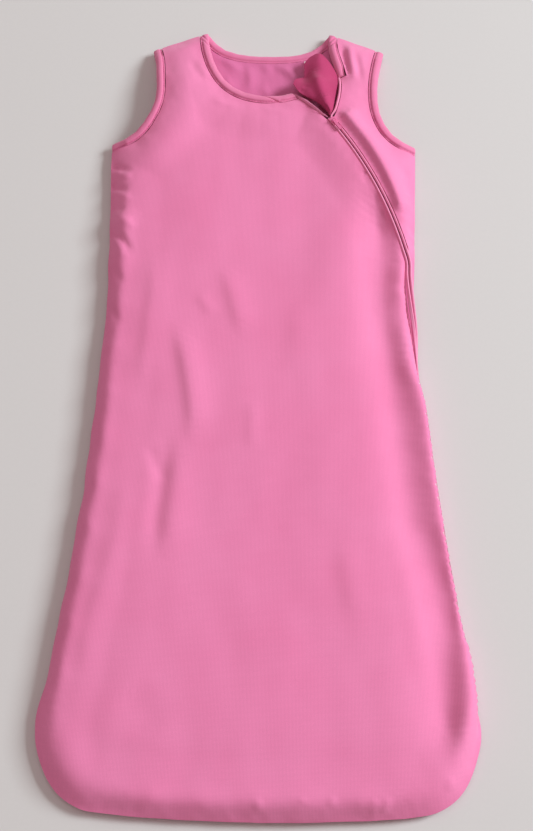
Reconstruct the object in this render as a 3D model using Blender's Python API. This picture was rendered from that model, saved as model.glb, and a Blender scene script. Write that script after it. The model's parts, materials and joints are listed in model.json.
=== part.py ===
"""Sleeveless padded baby sleeping bag, lying flat on its back.

+Z is up, +Y points to the neck and +X to the wearer's left. The origin is on the floor, under the
middle of the bag. Every cloth piece is a layer of its own: outer shell, wadding and lining, for the
back, the front and the narrow panel beside the zip. Sizes are in millimetres, and each mesh is
scaled to metres when it is made.
"""

import math
from collections import namedtuple

import bmesh
import bpy
import numpy as np
from mathutils import Matrix, Vector
from mathutils.geometry import delaunay_2d_cdt

MM = 0.001

# Outline
BAG_LENGTH = 857.0
CHEST_WIDTH = 334.0
WAIST_WIDTH = 328.0
WAIST_DROP = 353.0
THIGH_WIDTH = 364.0
THIGH_DROP = 568.0
HEM_WIDTH = 427.0
HEM_CORNER_WIDTH = 64.0
HEM_CORNER_HEIGHT = 80.0
HEM_CROWN = 7.0
SHOULDER_WIDTH = 260.0
SHOULDER_SLOPE = 24.0
NECK_WIDTH = 137.0
NECK_FRONT_DROP = 89.0
NECK_BACK_DROP = 27.0
ARMHOLE_DEPTH = 143.0
ARMHOLE_LEAN_IN = 14.0
ARMHOLE_REACH = 54.0
ARMHOLE_FLOOR = 51.0
TORSO_SHIFT = -4.0

# Layers
CLOTH = 1.0
WADDING = 6.0
WADDING_EDGE = 1.0
WADDING_TAPER = 13.5
LAYER_GAP = 0.3
LIP = 2.5
RIM_LIFT = 4.0
RIM_CURL = 20.0
CAVITY = 14.0
CAVITY_RUN = 60.0
OPEN_EDGE_DROOP = 5.5
OPEN_EDGE_RUN = 40.0
RINGS = (LIP, 14.0, 38.0)
INNER_SPACING = 62.0

# Bindings
BINDING_WIDTH = 10.0
BINDING_BULGE = 0.8
BINDING_KNOT = 4.0
BINDING_STEP = 14.0
TRIM_GAP = 0.3

# Zip
ZIP_TIP_X = 68.0
ZIP_TIP_DROP = 119.5
ZIP_TURN_DROP = 284.5
ZIP_TURN_INSET = 7.5
ZIP_BOW = 9.6
ZIP_TIP_HEIGHT = 30.0
ZIP_MIDDLE_HEIGHT = 27.5
ZIP_TURN_HEIGHT = 18.0
ZIP_SIDE_DROP = 420.0
ZIP_END_DROP = 680.0
ZIP_BLEND = 26.0
ZIP_BLEND_RIM = 6.0
ZIP_STEP = 15.0
ARC_SAMPLES = 60
CORNER_X = 30.0
TAPE_SLOT = 0.6
TAPE_WIDTH = 3.1
TAPE_THICKNESS = 0.8
TAPE_DEPTH = 1.5
COIL_WIDTH = 1.4
COIL_HEIGHT = 1.5
STOP_LENGTH = 2.6
CHANNEL_GAP = 0.3
SIDE_RECESS = 3.0
SIDE_RECESS_RUN = 60.0

# Slider and pull
SLIDER_START = 6.4
SLIDER_LENGTH = 9.0
SLIDER_WIDTH = 6.4
SLIDER_PLATE = 0.9
SLIDER_POST = 0.6
SLIDER_FIT = 0.35
LUG_THICKNESS = 0.7
PIN_RADIUS = 0.5
EYE_RADIUS = 1.35
EYE_FIT = 0.35
PULL_WIDTH = 2.6
PULL_LENGTH = 14.0
PULL_THICKNESS = 1.0

# Zip guard, fold-back corner and tag
GUARD_REACH = 12.0
GUARD_LENGTH = 112.0
GUARD_GAP = 0.5
FOLD_GAP = 0.4
FOLD_NECK_X = -8.0
FOLD_REACH = 60.0
FOLD_NECK_RUN = 8.0
FLAP_THICKNESS = 1.2
FLAP_START = 2.0
FLAP_RIDGE = 6.0
FLAP_RIDGE_PLACE = 0.45
FLAP_SAG = 3.0
# Along the hinge, near edge, far edge and share of the ridge
FLAP_OUTLINE = ((0.8, 0.2, 0.9, 0.0), (8.0, 0.2, 5.5, 0.05), (18.0, 0.2, 19.5, 0.3), (27.0, 0.2, 37.5, 0.6),
                (36.0, 0.2, 45.0, 0.8), (43.0, 0.2, 44.0, 1.0), (49.0, 0.4, 35.0, 1.0), (57.0, 2.5, 35.5, 0.9),
                (67.0, 9.0, 37.5, 0.6), (75.0, 16.0, 33.0, 0.4), (80.0, 22.0, 27.0, 0.1))
TAG_WIDTH = 9.0
TAG_LENGTH = 12.0
TAG_THICKNESS = 0.5
TAG_GAP = 0.4
TAG_X = 45.0

SHOULDER_Y = BAG_LENGTH / 2.0
HEM_Y = -BAG_LENGTH / 2.0
CHANNEL_HALF = TAPE_SLOT + TAPE_WIDTH + CHANNEL_GAP
FRONT_EDGE_STACK = 2.0 * (CLOTH + LAYER_GAP)
COIL_FLOOR = TAPE_THICKNESS / 2.0 + LAYER_GAP
COIL_TOP = COIL_FLOOR + COIL_HEIGHT

Frame = namedtuple("Frame", "origin along across up")


# ---------------------------------------------------------------- plane curves

def smooth(value):
    """Smooth step from 0 to 1, for numbers and arrays."""
    held = np.clip(value, 0.0, 1.0)
    return held * held * (3.0 - 2.0 * held)


def unit(vector):
    """A vector scaled to length one."""
    return np.asarray(vector, float) / np.linalg.norm(vector)


def bezier(start, first, second, end, count):
    """Points along a cubic curve, both ends included."""
    steps = np.linspace(0.0, 1.0, count)[:, None]
    start, first, second, end = (np.array(point, float) for point in (start, first, second, end))
    rest = 1.0 - steps
    return rest**3 * start + 3 * rest**2 * steps * first + 3 * rest * steps**2 * second + steps**3 * end


def through(points, count):
    """Points along a smooth curve through the given ones, count to each span."""
    points = np.array(points, float)
    padded = np.vstack([2 * points[0] - points[1], points, 2 * points[-1] - points[-2]])
    made = []
    for index in range(1, len(padded) - 2):
        before, start, end, after = padded[index - 1:index + 3]
        for part in np.linspace(0.0, 1.0, count, endpoint=False):
            pull = (end - before) * part + (2 * before - 5 * start + 4 * end - after) * part**2
            pull += (3 * (start - end) + after - before) * part**3
            made.append(start + 0.5 * pull)
    made.append(points[-1])
    return np.array(made)


def resampled(points, step):
    """The same polyline with evenly spaced points, about a step apart."""
    points = np.asarray(points, float)
    lengths = np.concatenate([[0.0], np.cumsum(np.linalg.norm(np.diff(points, axis=0), axis=1))])
    count = max(2, int(round(lengths[-1] / step)) + 1)
    places = np.linspace(0.0, lengths[-1], count)
    return np.stack([np.interp(places, lengths, points[:, axis]) for axis in range(points.shape[1])], 1)


def normals(points):
    """Unit normals to the left of a plane polyline's direction."""
    tangents = np.gradient(points[:, :2], axis=0)
    tangents /= np.linalg.norm(tangents, axis=1)[:, None]
    return np.stack([-tangents[:, 1], tangents[:, 0]], 1)


def distance(places, lines):
    """Distance from each place to the nearest of several polylines."""
    places = np.atleast_2d(places)
    nearest = np.full(len(places), 1e9)
    for line in lines:
        for start, end in zip(line[:-1], line[1:]):
            run = end - start
            part = np.clip((places - start) @ run / (run @ run), 0.0, 1.0)
            gaps = np.linalg.norm(places - start - part[:, None] * run, axis=1)
            nearest = np.minimum(nearest, gaps)
    return nearest


def inside(places, loop):
    """Which places lie inside a closed loop."""
    within = np.zeros(len(places), bool)
    for start, end in zip(loop, np.roll(loop, -1, axis=0)):
        if start[1] == end[1]:
            continue
        spans = (start[1] > places[:, 1]) != (end[1] > places[:, 1])
        crossing = start[0] + (places[:, 1] - start[1]) * (end[0] - start[0]) / (end[1] - start[1])
        within ^= spans & (places[:, 0] < crossing)
    return within


# ---------------------------------------------------------------- outline

def half_width(heights):
    """Half width of the bag below the armholes, at given places along Y."""
    levels = [(CHEST_WIDTH / 2.0, SHOULDER_Y - ARMHOLE_DEPTH), (WAIST_WIDTH / 2.0, SHOULDER_Y - WAIST_DROP),
              (THIGH_WIDTH / 2.0, SHOULDER_Y - THIGH_DROP), (HEM_WIDTH / 2.0, HEM_Y + HEM_CROWN + HEM_CORNER_HEIGHT)]
    curve = through(levels, 12)[::-1]
    return np.interp(heights, curve[:, 1], curve[:, 0])


def torso_centre(heights):
    """Sideways place of the middle line, which drifts a little below the neck."""
    foot = HEM_Y + HEM_CROWN + HEM_CORNER_HEIGHT
    rise = (np.asarray(heights, float) - foot) / (SHOULDER_Y - WAIST_DROP - foot)
    return TORSO_SHIFT * smooth(rise)


def recess(heights):
    """How far the right edge of the cloth steps in to make room for the lower zip."""
    top = smooth((SHOULDER_Y - ZIP_TURN_DROP - heights) / SIDE_RECESS_RUN)
    foot = smooth((heights - (SHOULDER_Y - ZIP_END_DROP - LIP - SIDE_RECESS_RUN / 3.0)) / (SIDE_RECESS_RUN / 3.0))
    return SIDE_RECESS * top * foot


def side_edge(side, heights):
    """Side edge of the cloth: side is 1 for +X and -1 for -X."""
    reach = side * half_width(heights) + torso_centre(heights)
    if side > 0:
        reach = reach - recess(heights)
    return np.stack([reach, heights], 1)


def hem():
    """Hem from the +X corner to the -X corner."""
    centre_x = HEM_WIDTH / 2.0 - HEM_CORNER_WIDTH
    centre_y = HEM_Y + HEM_CROWN + HEM_CORNER_HEIGHT
    turns = np.radians(np.arange(0.0, 90.1, 15.0))
    corner = np.stack([centre_x + HEM_CORNER_WIDTH * np.cos(turns), centre_y - HEM_CORNER_HEIGHT * np.sin(turns)], 1)
    across = np.linspace(centre_x, -centre_x, 7)[1:-1]
    bottom = np.stack([across, HEM_Y + HEM_CROWN * (across / centre_x) ** 2], 1)
    return np.vstack([corner, bottom, corner[::-1] * (-1, 1)])


def underarm(side):
    """Point where the armhole meets the side seam."""
    height = SHOULDER_Y - ARMHOLE_DEPTH
    return side_edge(side, np.array([height]))[0]


def shoulder_tip(side):
    """Outer end of the shoulder seam."""
    return np.array([side * SHOULDER_WIDTH / 2.0, SHOULDER_Y - SHOULDER_SLOPE])


def neck_point(side):
    """Neck end of the shoulder seam."""
    return np.array([side * NECK_WIDTH / 2.0, SHOULDER_Y])


def armhole(side):
    """Free edge of an armhole from the shoulder tip to the underarm."""
    top = shoulder_tip(side)
    foot = underarm(side)
    first = top + (-side * ARMHOLE_LEAN_IN, -ARMHOLE_REACH)
    second = foot + (-side * ARMHOLE_FLOOR, 5.0)
    return bezier(top, first, second, foot, 12)


def half_neck(side, drop, reach, tuck, count=9):
    """Half of a neckline, from the shoulder to the middle."""
    top = neck_point(side)
    middle = np.array([0.0, SHOULDER_Y - drop])
    first = top + (-side * tuck, -reach * drop)
    second = middle + (side * NECK_WIDTH * 0.36, 0.0)
    return bezier(top, first, second, middle, count)


def front_neck(side):
    """Half of the front neckline's free edge."""
    return half_neck(side, NECK_FRONT_DROP, 0.6, 4.0)


def back_neck():
    """Free edge of the back neckline from +X to -X."""
    right = half_neck(1, NECK_BACK_DROP, 0.6, 13.0, 7)
    return np.vstack([right, half_neck(-1, NECK_BACK_DROP, 0.6, 13.0, 7)[-2::-1]])


def body_edge():
    """Sewn edge from the +X underarm down, along the hem and up to the -X underarm."""
    top = SHOULDER_Y - ARMHOLE_DEPTH
    foot = HEM_Y + HEM_CROWN + HEM_CORNER_HEIGHT
    turn = SHOULDER_Y - ZIP_TURN_DROP
    end = SHOULDER_Y - ZIP_END_DROP
    right = [np.linspace(top, turn, 5)[:-1], np.linspace(turn, end, 11)[:-1], np.linspace(end, foot, 5)[:-1]]
    left = np.linspace(top, foot, 14)[:-1]
    return np.vstack([side_edge(1, np.concatenate(right)), hem(), side_edge(-1, left)[::-1]])


def shoulder_seam(side):
    """Shoulder seam from the tip to the neck."""
    return np.linspace(shoulder_tip(side), neck_point(side), 3)


# ---------------------------------------------------------------- zip line

def zip_plan(drop, inset):
    """Place at a drop below the shoulders and an inset from the bag's right edge."""
    height = SHOULDER_Y - drop
    edge = half_width(height) + torso_centre(height)
    return np.array([edge - inset, height])


def zip_circle():
    """Axis, centre and start of the circular arc that the upper zip follows, and its turn."""
    tip = np.array([ZIP_TIP_X, SHOULDER_Y - ZIP_TIP_DROP, ZIP_TIP_HEIGHT])
    turn = np.append(zip_plan(ZIP_TURN_DROP, ZIP_TURN_INSET), ZIP_TURN_HEIGHT)
    chord = turn - tip
    outward = np.array([-chord[1], chord[0], 0.0]) / np.hypot(chord[0], chord[1])
    middle = (tip + turn) / 2.0 + outward * ZIP_BOW
    middle[2] = ZIP_MIDDLE_HEIGHT
    first, second = middle - tip, turn - tip
    axis = np.cross(first, second)
    size = axis @ axis
    centre = tip + (np.cross(axis, first) * (second @ second) + np.cross(second, axis) * (first @ first)) / (2 * size)
    axis /= math.sqrt(size)
    radii = tip - centre, turn - centre
    angle = math.acos(radii[0] @ radii[1] / (np.linalg.norm(radii[0]) * np.linalg.norm(radii[1])))
    return centre, axis, tip, angle


def zip_frame(length):
    """Frame on the arc at a length from the tip: along the zip, across to the main panel, and up."""
    centre, axis, tip, _ = zip_circle()
    radius = np.linalg.norm(tip - centre)
    along = np.cross(axis, tip - centre) / radius
    up = np.array([0.0, 0.0, 1.0]) - along[2] * along
    up /= np.linalg.norm(up)
    turn = np.array(Matrix.Rotation(length / radius, 3, Vector(axis)))
    return Frame(centre + turn @ (tip - centre), turn @ along, turn @ np.cross(along, up), turn @ up)


def zip_arc_length():
    """Length of the arc."""
    centre, _, tip, angle = zip_circle()
    return angle * np.linalg.norm(tip - centre)


def arc_frames():
    """Frames along the whole arc."""
    count = int(round(zip_arc_length() / ZIP_STEP)) + 1
    return [zip_frame(length) for length in np.linspace(0.0, zip_arc_length(), count)]


def side_zip_frames():
    """Frames below the arc: the zip rolls over the edge, then runs down the side seam."""
    start = zip_frame(zip_arc_length())
    side_start = SHOULDER_Y - ZIP_SIDE_DROP
    heights = np.concatenate([np.linspace(start.origin[1], side_start, 9)[1:],
                              np.linspace(side_start, SHOULDER_Y - ZIP_END_DROP, 6)[1:]])
    rest_inset = COIL_TOP
    made = []
    for height in heights:
        part = (start.origin[1] - height) / (start.origin[1] - side_start)
        inset = ZIP_TURN_INSET + (rest_inset - ZIP_TURN_INSET) * smooth(part / 0.7)
        level = ZIP_TURN_HEIGHT + (SEAM_LEVEL - ZIP_TURN_HEIGHT) * smooth((part - 0.3) / 0.7)
        origin = np.append(zip_plan(SHOULDER_Y - height, inset), level)
        made.append((origin, math.radians(90.0) * smooth(part)))
    places = np.array([start.origin] + [origin for origin, _ in made])
    tangents = np.gradient(places, axis=0)[1:]
    frames = []
    for (origin, roll), tangent in zip(made, tangents):
        along = tangent / np.linalg.norm(tangent)
        up = np.array([math.sin(roll), 0.0, math.cos(roll)])
        up -= (up @ along) * along
        up /= np.linalg.norm(up)
        frames.append(Frame(origin, along, np.cross(along, up), up))
    return frames


def corner_point():
    """Tip of the loose front corner, on the neckline."""
    neck = front_neck(1)[::-1]
    return np.array([CORNER_X, np.interp(CORNER_X, neck[:, 0], neck[:, 1])])


def corner_branch():
    """Open zip edge of the loose corner, from the zip's tip to the neckline."""
    tip = zip_frame(0.0).origin[:2]
    return np.linspace(tip, corner_point(), 4)


def side_branch():
    """Open zip edge of the side panel, from the zip's tip to the neck binding."""
    tip = zip_frame(0.0).origin[:2]
    top = np.array([tip[0] + 9.0, tip[1] + 56.0])
    return bezier(tip, tip + (5.5, 11.0), top + (3.0, -20.0), top, 6)


def side_neck():
    """Free neck edge of the side panel, from the zip's top to the shoulder."""
    start = side_branch()[-1]
    end = neck_point(1)
    return bezier(start, start + (-3.0, 18.0), end + (-6.0, -20.0), end, 6)


def fold_line():
    """Line on which the loose corner folds back, from the zip's tip to the neckline."""
    neck = np.vstack([front_neck(-1), front_neck(1)[-2::-1]])
    start = zip_frame(0.0).origin[:2]
    end = np.array([FOLD_NECK_X, np.interp(FOLD_NECK_X, neck[:, 0], neck[:, 1])])
    return start, end


# ---------------------------------------------------------------- heights

def rim_rise(gap):
    """Height of the underside, which curls up to the sewn edges."""
    return RIM_LIFT * np.clip(1.0 - gap / RIM_CURL, 0.0, 1.0) ** 2


def wadding(gap):
    """Thickness of the wadding at a distance from the edge."""
    return WADDING_EDGE + (WADDING - WADDING_EDGE) * smooth((gap - LIP) / WADDING_TAPER)


EDGE_TOP = RIM_LIFT * (1.0 - LIP / RIM_CURL) ** 2 + FRONT_EDGE_STACK + WADDING_EDGE
SEAM_LEVEL = EDGE_TOP + LAYER_GAP / 2.0


class Heights:
    """Heights of every layer at given places."""

    def __init__(self):
        self.sewn = [body_edge(), shoulder_seam(1), shoulder_seam(-1)]
        arms = [armhole(1), armhole(-1)]
        fronts = [front_neck(-1), front_neck(1)[4:][::-1], side_neck()]
        self.open_back = arms + [back_neck()]
        self.open_front = arms + fronts
        lengths = np.linspace(0.0, zip_arc_length(), ARC_SAMPLES)
        self.arc = np.array([zip_frame(length).origin for length in lengths])

    def back(self, places):
        """Floors and tops of the back shell, wadding and lining."""
        sewn = distance(places, self.sewn)
        edge = np.minimum(sewn, distance(places, self.open_back))
        base = rim_rise(sewn)
        thick = wadding(edge)
        shell = rim_rise(np.maximum(sewn, LIP)) + CLOTH
        filled = shell + LAYER_GAP + thick
        lip = np.clip(sewn / LIP, 0.0, 1.0)
        lip_top = (SEAM_LEVEL - LAYER_GAP / 2.0) * (1.0 - lip) + shell * lip
        return {"shell": (base, lip_top), "wadding": (shell + LAYER_GAP, filled),
                "lining": (filled + LAYER_GAP, filled + LAYER_GAP + CLOTH)}

    def front_floor(self, places, sewn):
        """Underside of the front lining, before the zip's own height is blended in."""
        sewn = np.maximum(sewn, LIP)
        opened = distance(places, self.open_front)
        cover = rim_rise(sewn) + FRONT_EDGE_STACK + wadding(sewn)
        room = smooth(sewn / CAVITY_RUN)
        droop = OPEN_EDGE_DROOP * (1.0 - smooth(opened / OPEN_EDGE_RUN))
        return np.maximum(cover, SEAM_LEVEL - LAYER_GAP / 2.0) + LAYER_GAP + (CAVITY - droop) * room

    def zip_pull_up(self, places, sewn, top):
        """How much the zip lifts or lowers the front around it."""
        gap = distance(places, [self.arc[:, :2]])
        nearest = [np.argmin(np.linalg.norm(self.arc[:, :2] - place, axis=1)) for place in places]
        target = self.arc[nearest, 2] + TAPE_DEPTH
        hold = 1.0 - smooth((gap - CHANNEL_HALF - 1.0) / ZIP_BLEND)
        hold = hold * smooth((sewn - LIP) / ZIP_BLEND_RIM)
        return hold * (target - top)

    def front(self, places):
        """Floors and tops of the front shell, wadding and lining."""
        sewn = distance(places, self.sewn)
        edge = np.minimum(sewn, distance(places, self.open_front))
        thick = wadding(edge)
        floor = self.front_floor(places, sewn)
        floor = floor + self.zip_pull_up(places, sewn, floor + FRONT_EDGE_STACK + thick)
        shell = floor + FRONT_EDGE_STACK - CLOTH + thick
        lip = np.clip(sewn / LIP, 0.0, 1.0)
        lip_floor = (SEAM_LEVEL + LAYER_GAP / 2.0) * (1.0 - lip) + shell * lip
        lip_top = lip_floor + CLOTH + (1.0 - lip) * (CLOTH - LAYER_GAP)
        return {"lining": (floor, floor + CLOTH), "wadding": (floor + CLOTH + LAYER_GAP, shell - LAYER_GAP),
                "shell": (lip_floor, lip_top)}


# ---------------------------------------------------------------- meshes

def add_object(name, vertices, faces, material, origin=(0.0, 0.0, 0.0)):
    """A closed mesh object, with its faces turned outwards."""
    origin = np.asarray(origin, float)
    mesh = bpy.data.meshes.new(name)
    mesh.from_pydata([tuple(point) for point in (np.asarray(vertices, float) - origin) * MM], [], faces)
    work = bmesh.new()
    work.from_mesh(mesh)
    bmesh.ops.recalc_face_normals(work, faces=work.faces)
    if work.calc_volume(signed=True) < 0.0:
        bmesh.ops.reverse_faces(work, faces=work.faces)
    work.to_mesh(mesh)
    work.free()
    mesh.materials.append(material)
    made = bpy.data.objects.new(name, mesh)
    made.location = Vector(origin) * MM
    bpy.context.scene.collection.objects.link(made)
    return made


def sweep(name, sections, material, origin=(0.0, 0.0, 0.0)):
    """A solid through matching sections, closed at both ends."""
    sections = np.asarray(sections, float)
    count, around = sections.shape[:2]
    faces = []
    for ring in range(count - 1):
        for corner in range(around):
            after = (corner + 1) % around
            faces.append((ring * around + corner, ring * around + after,
                          (ring + 1) * around + after, (ring + 1) * around + corner))
    faces.append(tuple(range(around))[::-1])
    faces.append(tuple((count - 1) * around + corner for corner in range(around)))
    return add_object(name, sections.reshape(-1, 3), faces, material, origin)


def frame_sections(frames, profile):
    """A profile of (across, up) points placed on each frame."""
    return [[frame.origin + across * frame.across + up * frame.up for across, up in profile] for frame in frames]


def rectangle(left, right, low, high):
    """Corners of a rectangle."""
    return [(left, low), (right, low), (right, high), (left, high)]


def plane_mesh(loops, lines, extra):
    """Triangles over the plane that keep every loop and line as edges."""
    places, edges = [], []
    for loop in loops:
        start = len(places)
        places.extend(loop)
        edges.extend((start + index, start + (index + 1) % len(loop)) for index in range(len(loop)))
    for line in lines:
        start = len(places)
        places.extend(line)
        edges.extend((start + index, start + index + 1) for index in range(len(line) - 1))
    places.extend(extra)
    points, _, triangles, _, _, _ = delaunay_2d_cdt([Vector(place) for place in places], edges, [], 0, 1e-3)
    return np.array([tuple(point) for point in points]), np.array([list(face) for face in triangles])


def pieces(triangles):
    """Groups of triangles that share edges."""
    owner = {}
    for index, triangle in enumerate(triangles):
        for start, end in zip(triangle, np.roll(triangle, -1)):
            owner.setdefault((min(start, end), max(start, end)), []).append(index)
    neighbours = [[] for _ in triangles]
    for users in owner.values():
        if len(users) == 2:
            neighbours[users[0]].append(users[1])
            neighbours[users[1]].append(users[0])
    groups, seen = [], np.zeros(len(triangles), bool)
    for first in range(len(triangles)):
        if seen[first]:
            continue
        seen[first] = True
        stack, group = [first], []
        while stack:
            index = stack.pop()
            group.append(index)
            for other in neighbours[index]:
                if not seen[other]:
                    seen[other] = True
                    stack.append(other)
        groups.append(triangles[group])
    return groups


def layer(name, places, triangles, floor, top, material, origin=(0.0, 0.0, 0.0)):
    """A closed layer over some triangles, between two heights."""
    used = np.unique(triangles)
    index = {vertex: new for new, vertex in enumerate(used)}
    count = len(used)
    lower = np.column_stack([places[used], floor[used]])
    upper = np.column_stack([places[used], top[used]])
    faces = []
    edges = {}
    for triangle in triangles:
        a, b, c = (index[vertex] for vertex in triangle)
        faces.append((a + count, b + count, c + count))
        faces.append((c, b, a))
        for start, end in ((a, b), (b, c), (c, a)):
            edges[(start, end)] = True
    for start, end in list(edges):
        if (end, start) not in edges:
            faces.append((start, end, end + count, start + count))
    return add_object(name, np.vstack([lower, upper]), faces, material, origin)


# ---------------------------------------------------------------- materials

def finish(name, colour, roughness, metallic=0.0):
    """A plain Principled material."""
    material = bpy.data.materials.new(name)
    material.use_nodes = True
    shader = material.node_tree.nodes["Principled BSDF"]
    linear = [(part / 255.0) ** 2.2 for part in colour]
    shader.inputs["Base Color"].default_value = (*linear, 1.0)
    shader.inputs["Roughness"].default_value = roughness
    shader.inputs["Metallic"].default_value = metallic
    material.diffuse_color = (*linear, 1.0)
    return material


def outer_jersey():
    """Soft pink jersey of the outer shell."""
    return finish("outer_jersey", (241, 141, 187), 0.85)


def lining_jersey():
    """Slightly deeper pink jersey inside."""
    return finish("lining_jersey", (230, 123, 178), 0.88)


def binding_jersey():
    """Folded jersey of the neck and armhole bindings."""
    return finish("binding_jersey", (236, 130, 180), 0.8)


def guard_jersey():
    """Deep pink jersey of the zip guard."""
    return finish("guard_jersey", (215, 95, 148), 0.85)


def white_wadding():
    """White polyester wadding."""
    return finish("white_wadding", (240, 238, 235), 0.95)


def woven_tape():
    """Woven pink zip tape."""
    return finish("woven_tape", (226, 110, 164), 0.75)


def nylon_coil():
    """Moulded pink nylon of the zip coil and its stops."""
    return finish("nylon_coil", (232, 120, 172), 0.4)


def lacquered_zinc():
    """Pink lacquer on the zinc slider and pull."""
    return finish("lacquered_zinc", (228, 112, 166), 0.35, 0.2)


def satin_tag():
    """White satin of the blank tag."""
    return finish("satin_tag", (245, 243, 240), 0.5)


# ---------------------------------------------------------------- cloth panels

def offset_line(line, gap, reach=14.0):
    """Parallel line to the left of a polyline, run on a little past its ends."""
    moved = line + normals(line) * gap
    if reach == 0.0:
        return moved
    first = moved[0] + unit(moved[0] - moved[1]) * reach
    last = moved[-1] + unit(moved[-1] - moved[-2]) * reach
    return np.vstack([first, moved, last])


def ring_lines():
    """Lines inside the sewn edges, along which the layers bend."""
    made = []
    for gap in RINGS:
        made.append(offset_line(body_edge(), -gap, 0.0 if gap > LIP else 14.0))
    for gap in RINGS[:2]:
        made.append(offset_line(shoulder_seam(1), gap))
        made.append(offset_line(shoulder_seam(-1), -gap))
    return made


def binding_band(edge, side, width, overrun=16.0):
    """Closed strip along an open edge that the cloth layers leave free."""
    inner = offset_line(edge, side * width, overrun)
    outer = offset_line(edge, -side * overrun, overrun)
    return np.vstack([inner, outer[::-1]])


def grid_points(loop, spacing, clear_lines, clear):
    """Points of a staggered grid inside a loop, away from given lines."""
    low, high = loop.min(axis=0), loop.max(axis=0)
    rows = np.arange(low[1] + spacing / 2.0, high[1], spacing * 0.866)
    found = []
    for number, height in enumerate(rows):
        shift = spacing / 2.0 if number % 2 else 0.0
        found.extend((across, height) for across in np.arange(low[0] + shift, high[0], spacing))
    found = np.array(found)
    found = found[inside(found, loop)]
    return found[distance(found, clear_lines) > clear]


def back_loop():
    """Closed outline of the back."""
    return np.vstack([body_edge(), armhole(-1)[::-1][1:], shoulder_seam(-1)[1:],
                      back_neck()[::-1][1:], shoulder_seam(1)[::-1][1:], armhole(1)[1:-1]])


def front_loop():
    """Closed outline of the front, with the notch of the open zip."""
    left_neck = front_neck(-1)
    right_neck = front_neck(1)[::-1]
    right_neck = right_neck[right_neck[:, 0] < CORNER_X - 2.0]
    return np.vstack([body_edge(), armhole(-1)[::-1][1:], shoulder_seam(-1)[1:], left_neck[1:],
                      right_neck[1:], corner_branch()[::-1], side_branch()[1:], side_neck()[1:],
                      shoulder_seam(1)[::-1][1:], armhole(1)[1:-1]])


def front_neck_edge():
    """Free edge of the front neckline, from the -X shoulder to the loose corner."""
    right_neck = front_neck(1)[::-1]
    right_neck = right_neck[right_neck[:, 0] < CORNER_X - 2.0]
    return np.vstack([front_neck(-1), right_neck[1:], corner_point()])


def zip_side_line(reach):
    """Line beside the arc, a reach towards the main panel (positive) or the side panel."""
    return np.array([frame.origin[:2] + reach * frame.across[:2] for frame in arc_frames()])


def zip_channel():
    """Closed strip that the front layers leave free for the zip."""
    main, side = [], []
    frames = arc_frames() + side_zip_frames()
    for frame in frames:
        across = np.array([frame.along[1], -frame.along[0]])
        across /= np.linalg.norm(across)
        half = abs(frame.across[:2] @ across)
        tall = abs(frame.up[:2] @ across)
        reach = half * (TAPE_SLOT + TAPE_WIDTH) + tall * TAPE_THICKNESS / 2.0 + CHANNEL_GAP
        main.append(frame.origin[:2] + across * reach)
        side.append(frame.origin[:2] - across * CHANNEL_HALF)
    return np.vstack([main, side[::-1]])


def branch_band(branch, side):
    """Strip of the cloth beside an open zip edge that the tape takes up."""
    inner = branch + normals(branch) * side * CHANNEL_HALF
    outer = branch - normals(branch) * side * 1.0
    first = (inner[0] - inner[1]) / np.linalg.norm(inner[0] - inner[1])
    last = (inner[-1] - inner[-2]) / np.linalg.norm(inner[-1] - inner[-2])
    head, tail = first * 1.5, last * 6.0
    return np.vstack([inner[0] + head, inner, inner[-1] + tail, outer[-1] + tail, outer[::-1], outer[0] + head])


def fold_band():
    """Narrow strip left free along the fold line."""
    start, end = fold_line()
    along = (end - start) / np.linalg.norm(end - start)
    across = np.array([-along[1], along[0]]) * FOLD_GAP / 2.0
    first, last = start - along * 3.0, end + along * 6.0
    return np.array([first + across, last + across, last - across, first - across])


def tag_places():
    """Left and right edges of the tag, in three rows from the neck seam down."""
    neck = back_neck()[::-1]
    top = np.interp(TAG_X, neck[:, 0], neck[:, 1]) - BINDING_WIDTH * 1.5
    runs = np.linspace(0.0, TAG_LENGTH, 3)
    return np.array([[(TAG_X + side * TAG_WIDTH / 2.0, top - run) for side in (-1, 1)] for run in runs])


def back_panel(heights, materials):
    """Shell, wadding and lining of the back."""
    loop = back_loop()
    bands = [binding_band(armhole(1), -1, BINDING_WIDTH + TRIM_GAP),
             binding_band(armhole(-1), 1, BINDING_WIDTH + TRIM_GAP),
             binding_band(back_neck(), 1, BINDING_WIDTH + TRIM_GAP)]
    keep_off = [np.vstack([loop, loop[:1]])] + ring_lines()
    extra = grid_points(loop, INNER_SPACING, keep_off, INNER_SPACING * 0.45)
    places, triangles = plane_mesh([loop] + bands, ring_lines() + [tag_places().reshape(-1, 2)], extra)
    centres = places[triangles].mean(axis=1)
    kept = inside(centres, loop)
    for band in bands:
        kept &= ~inside(centres, band)
    levels = heights.back(places)
    inner = distance(centres, heights.sewn) > LIP
    for part, chosen in (("shell", kept), ("wadding", kept & inner), ("lining", kept & inner)):
        group = max(pieces(triangles[chosen]), key=len)
        layer("back_" + part, places, group, *levels[part], materials[part])


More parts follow.
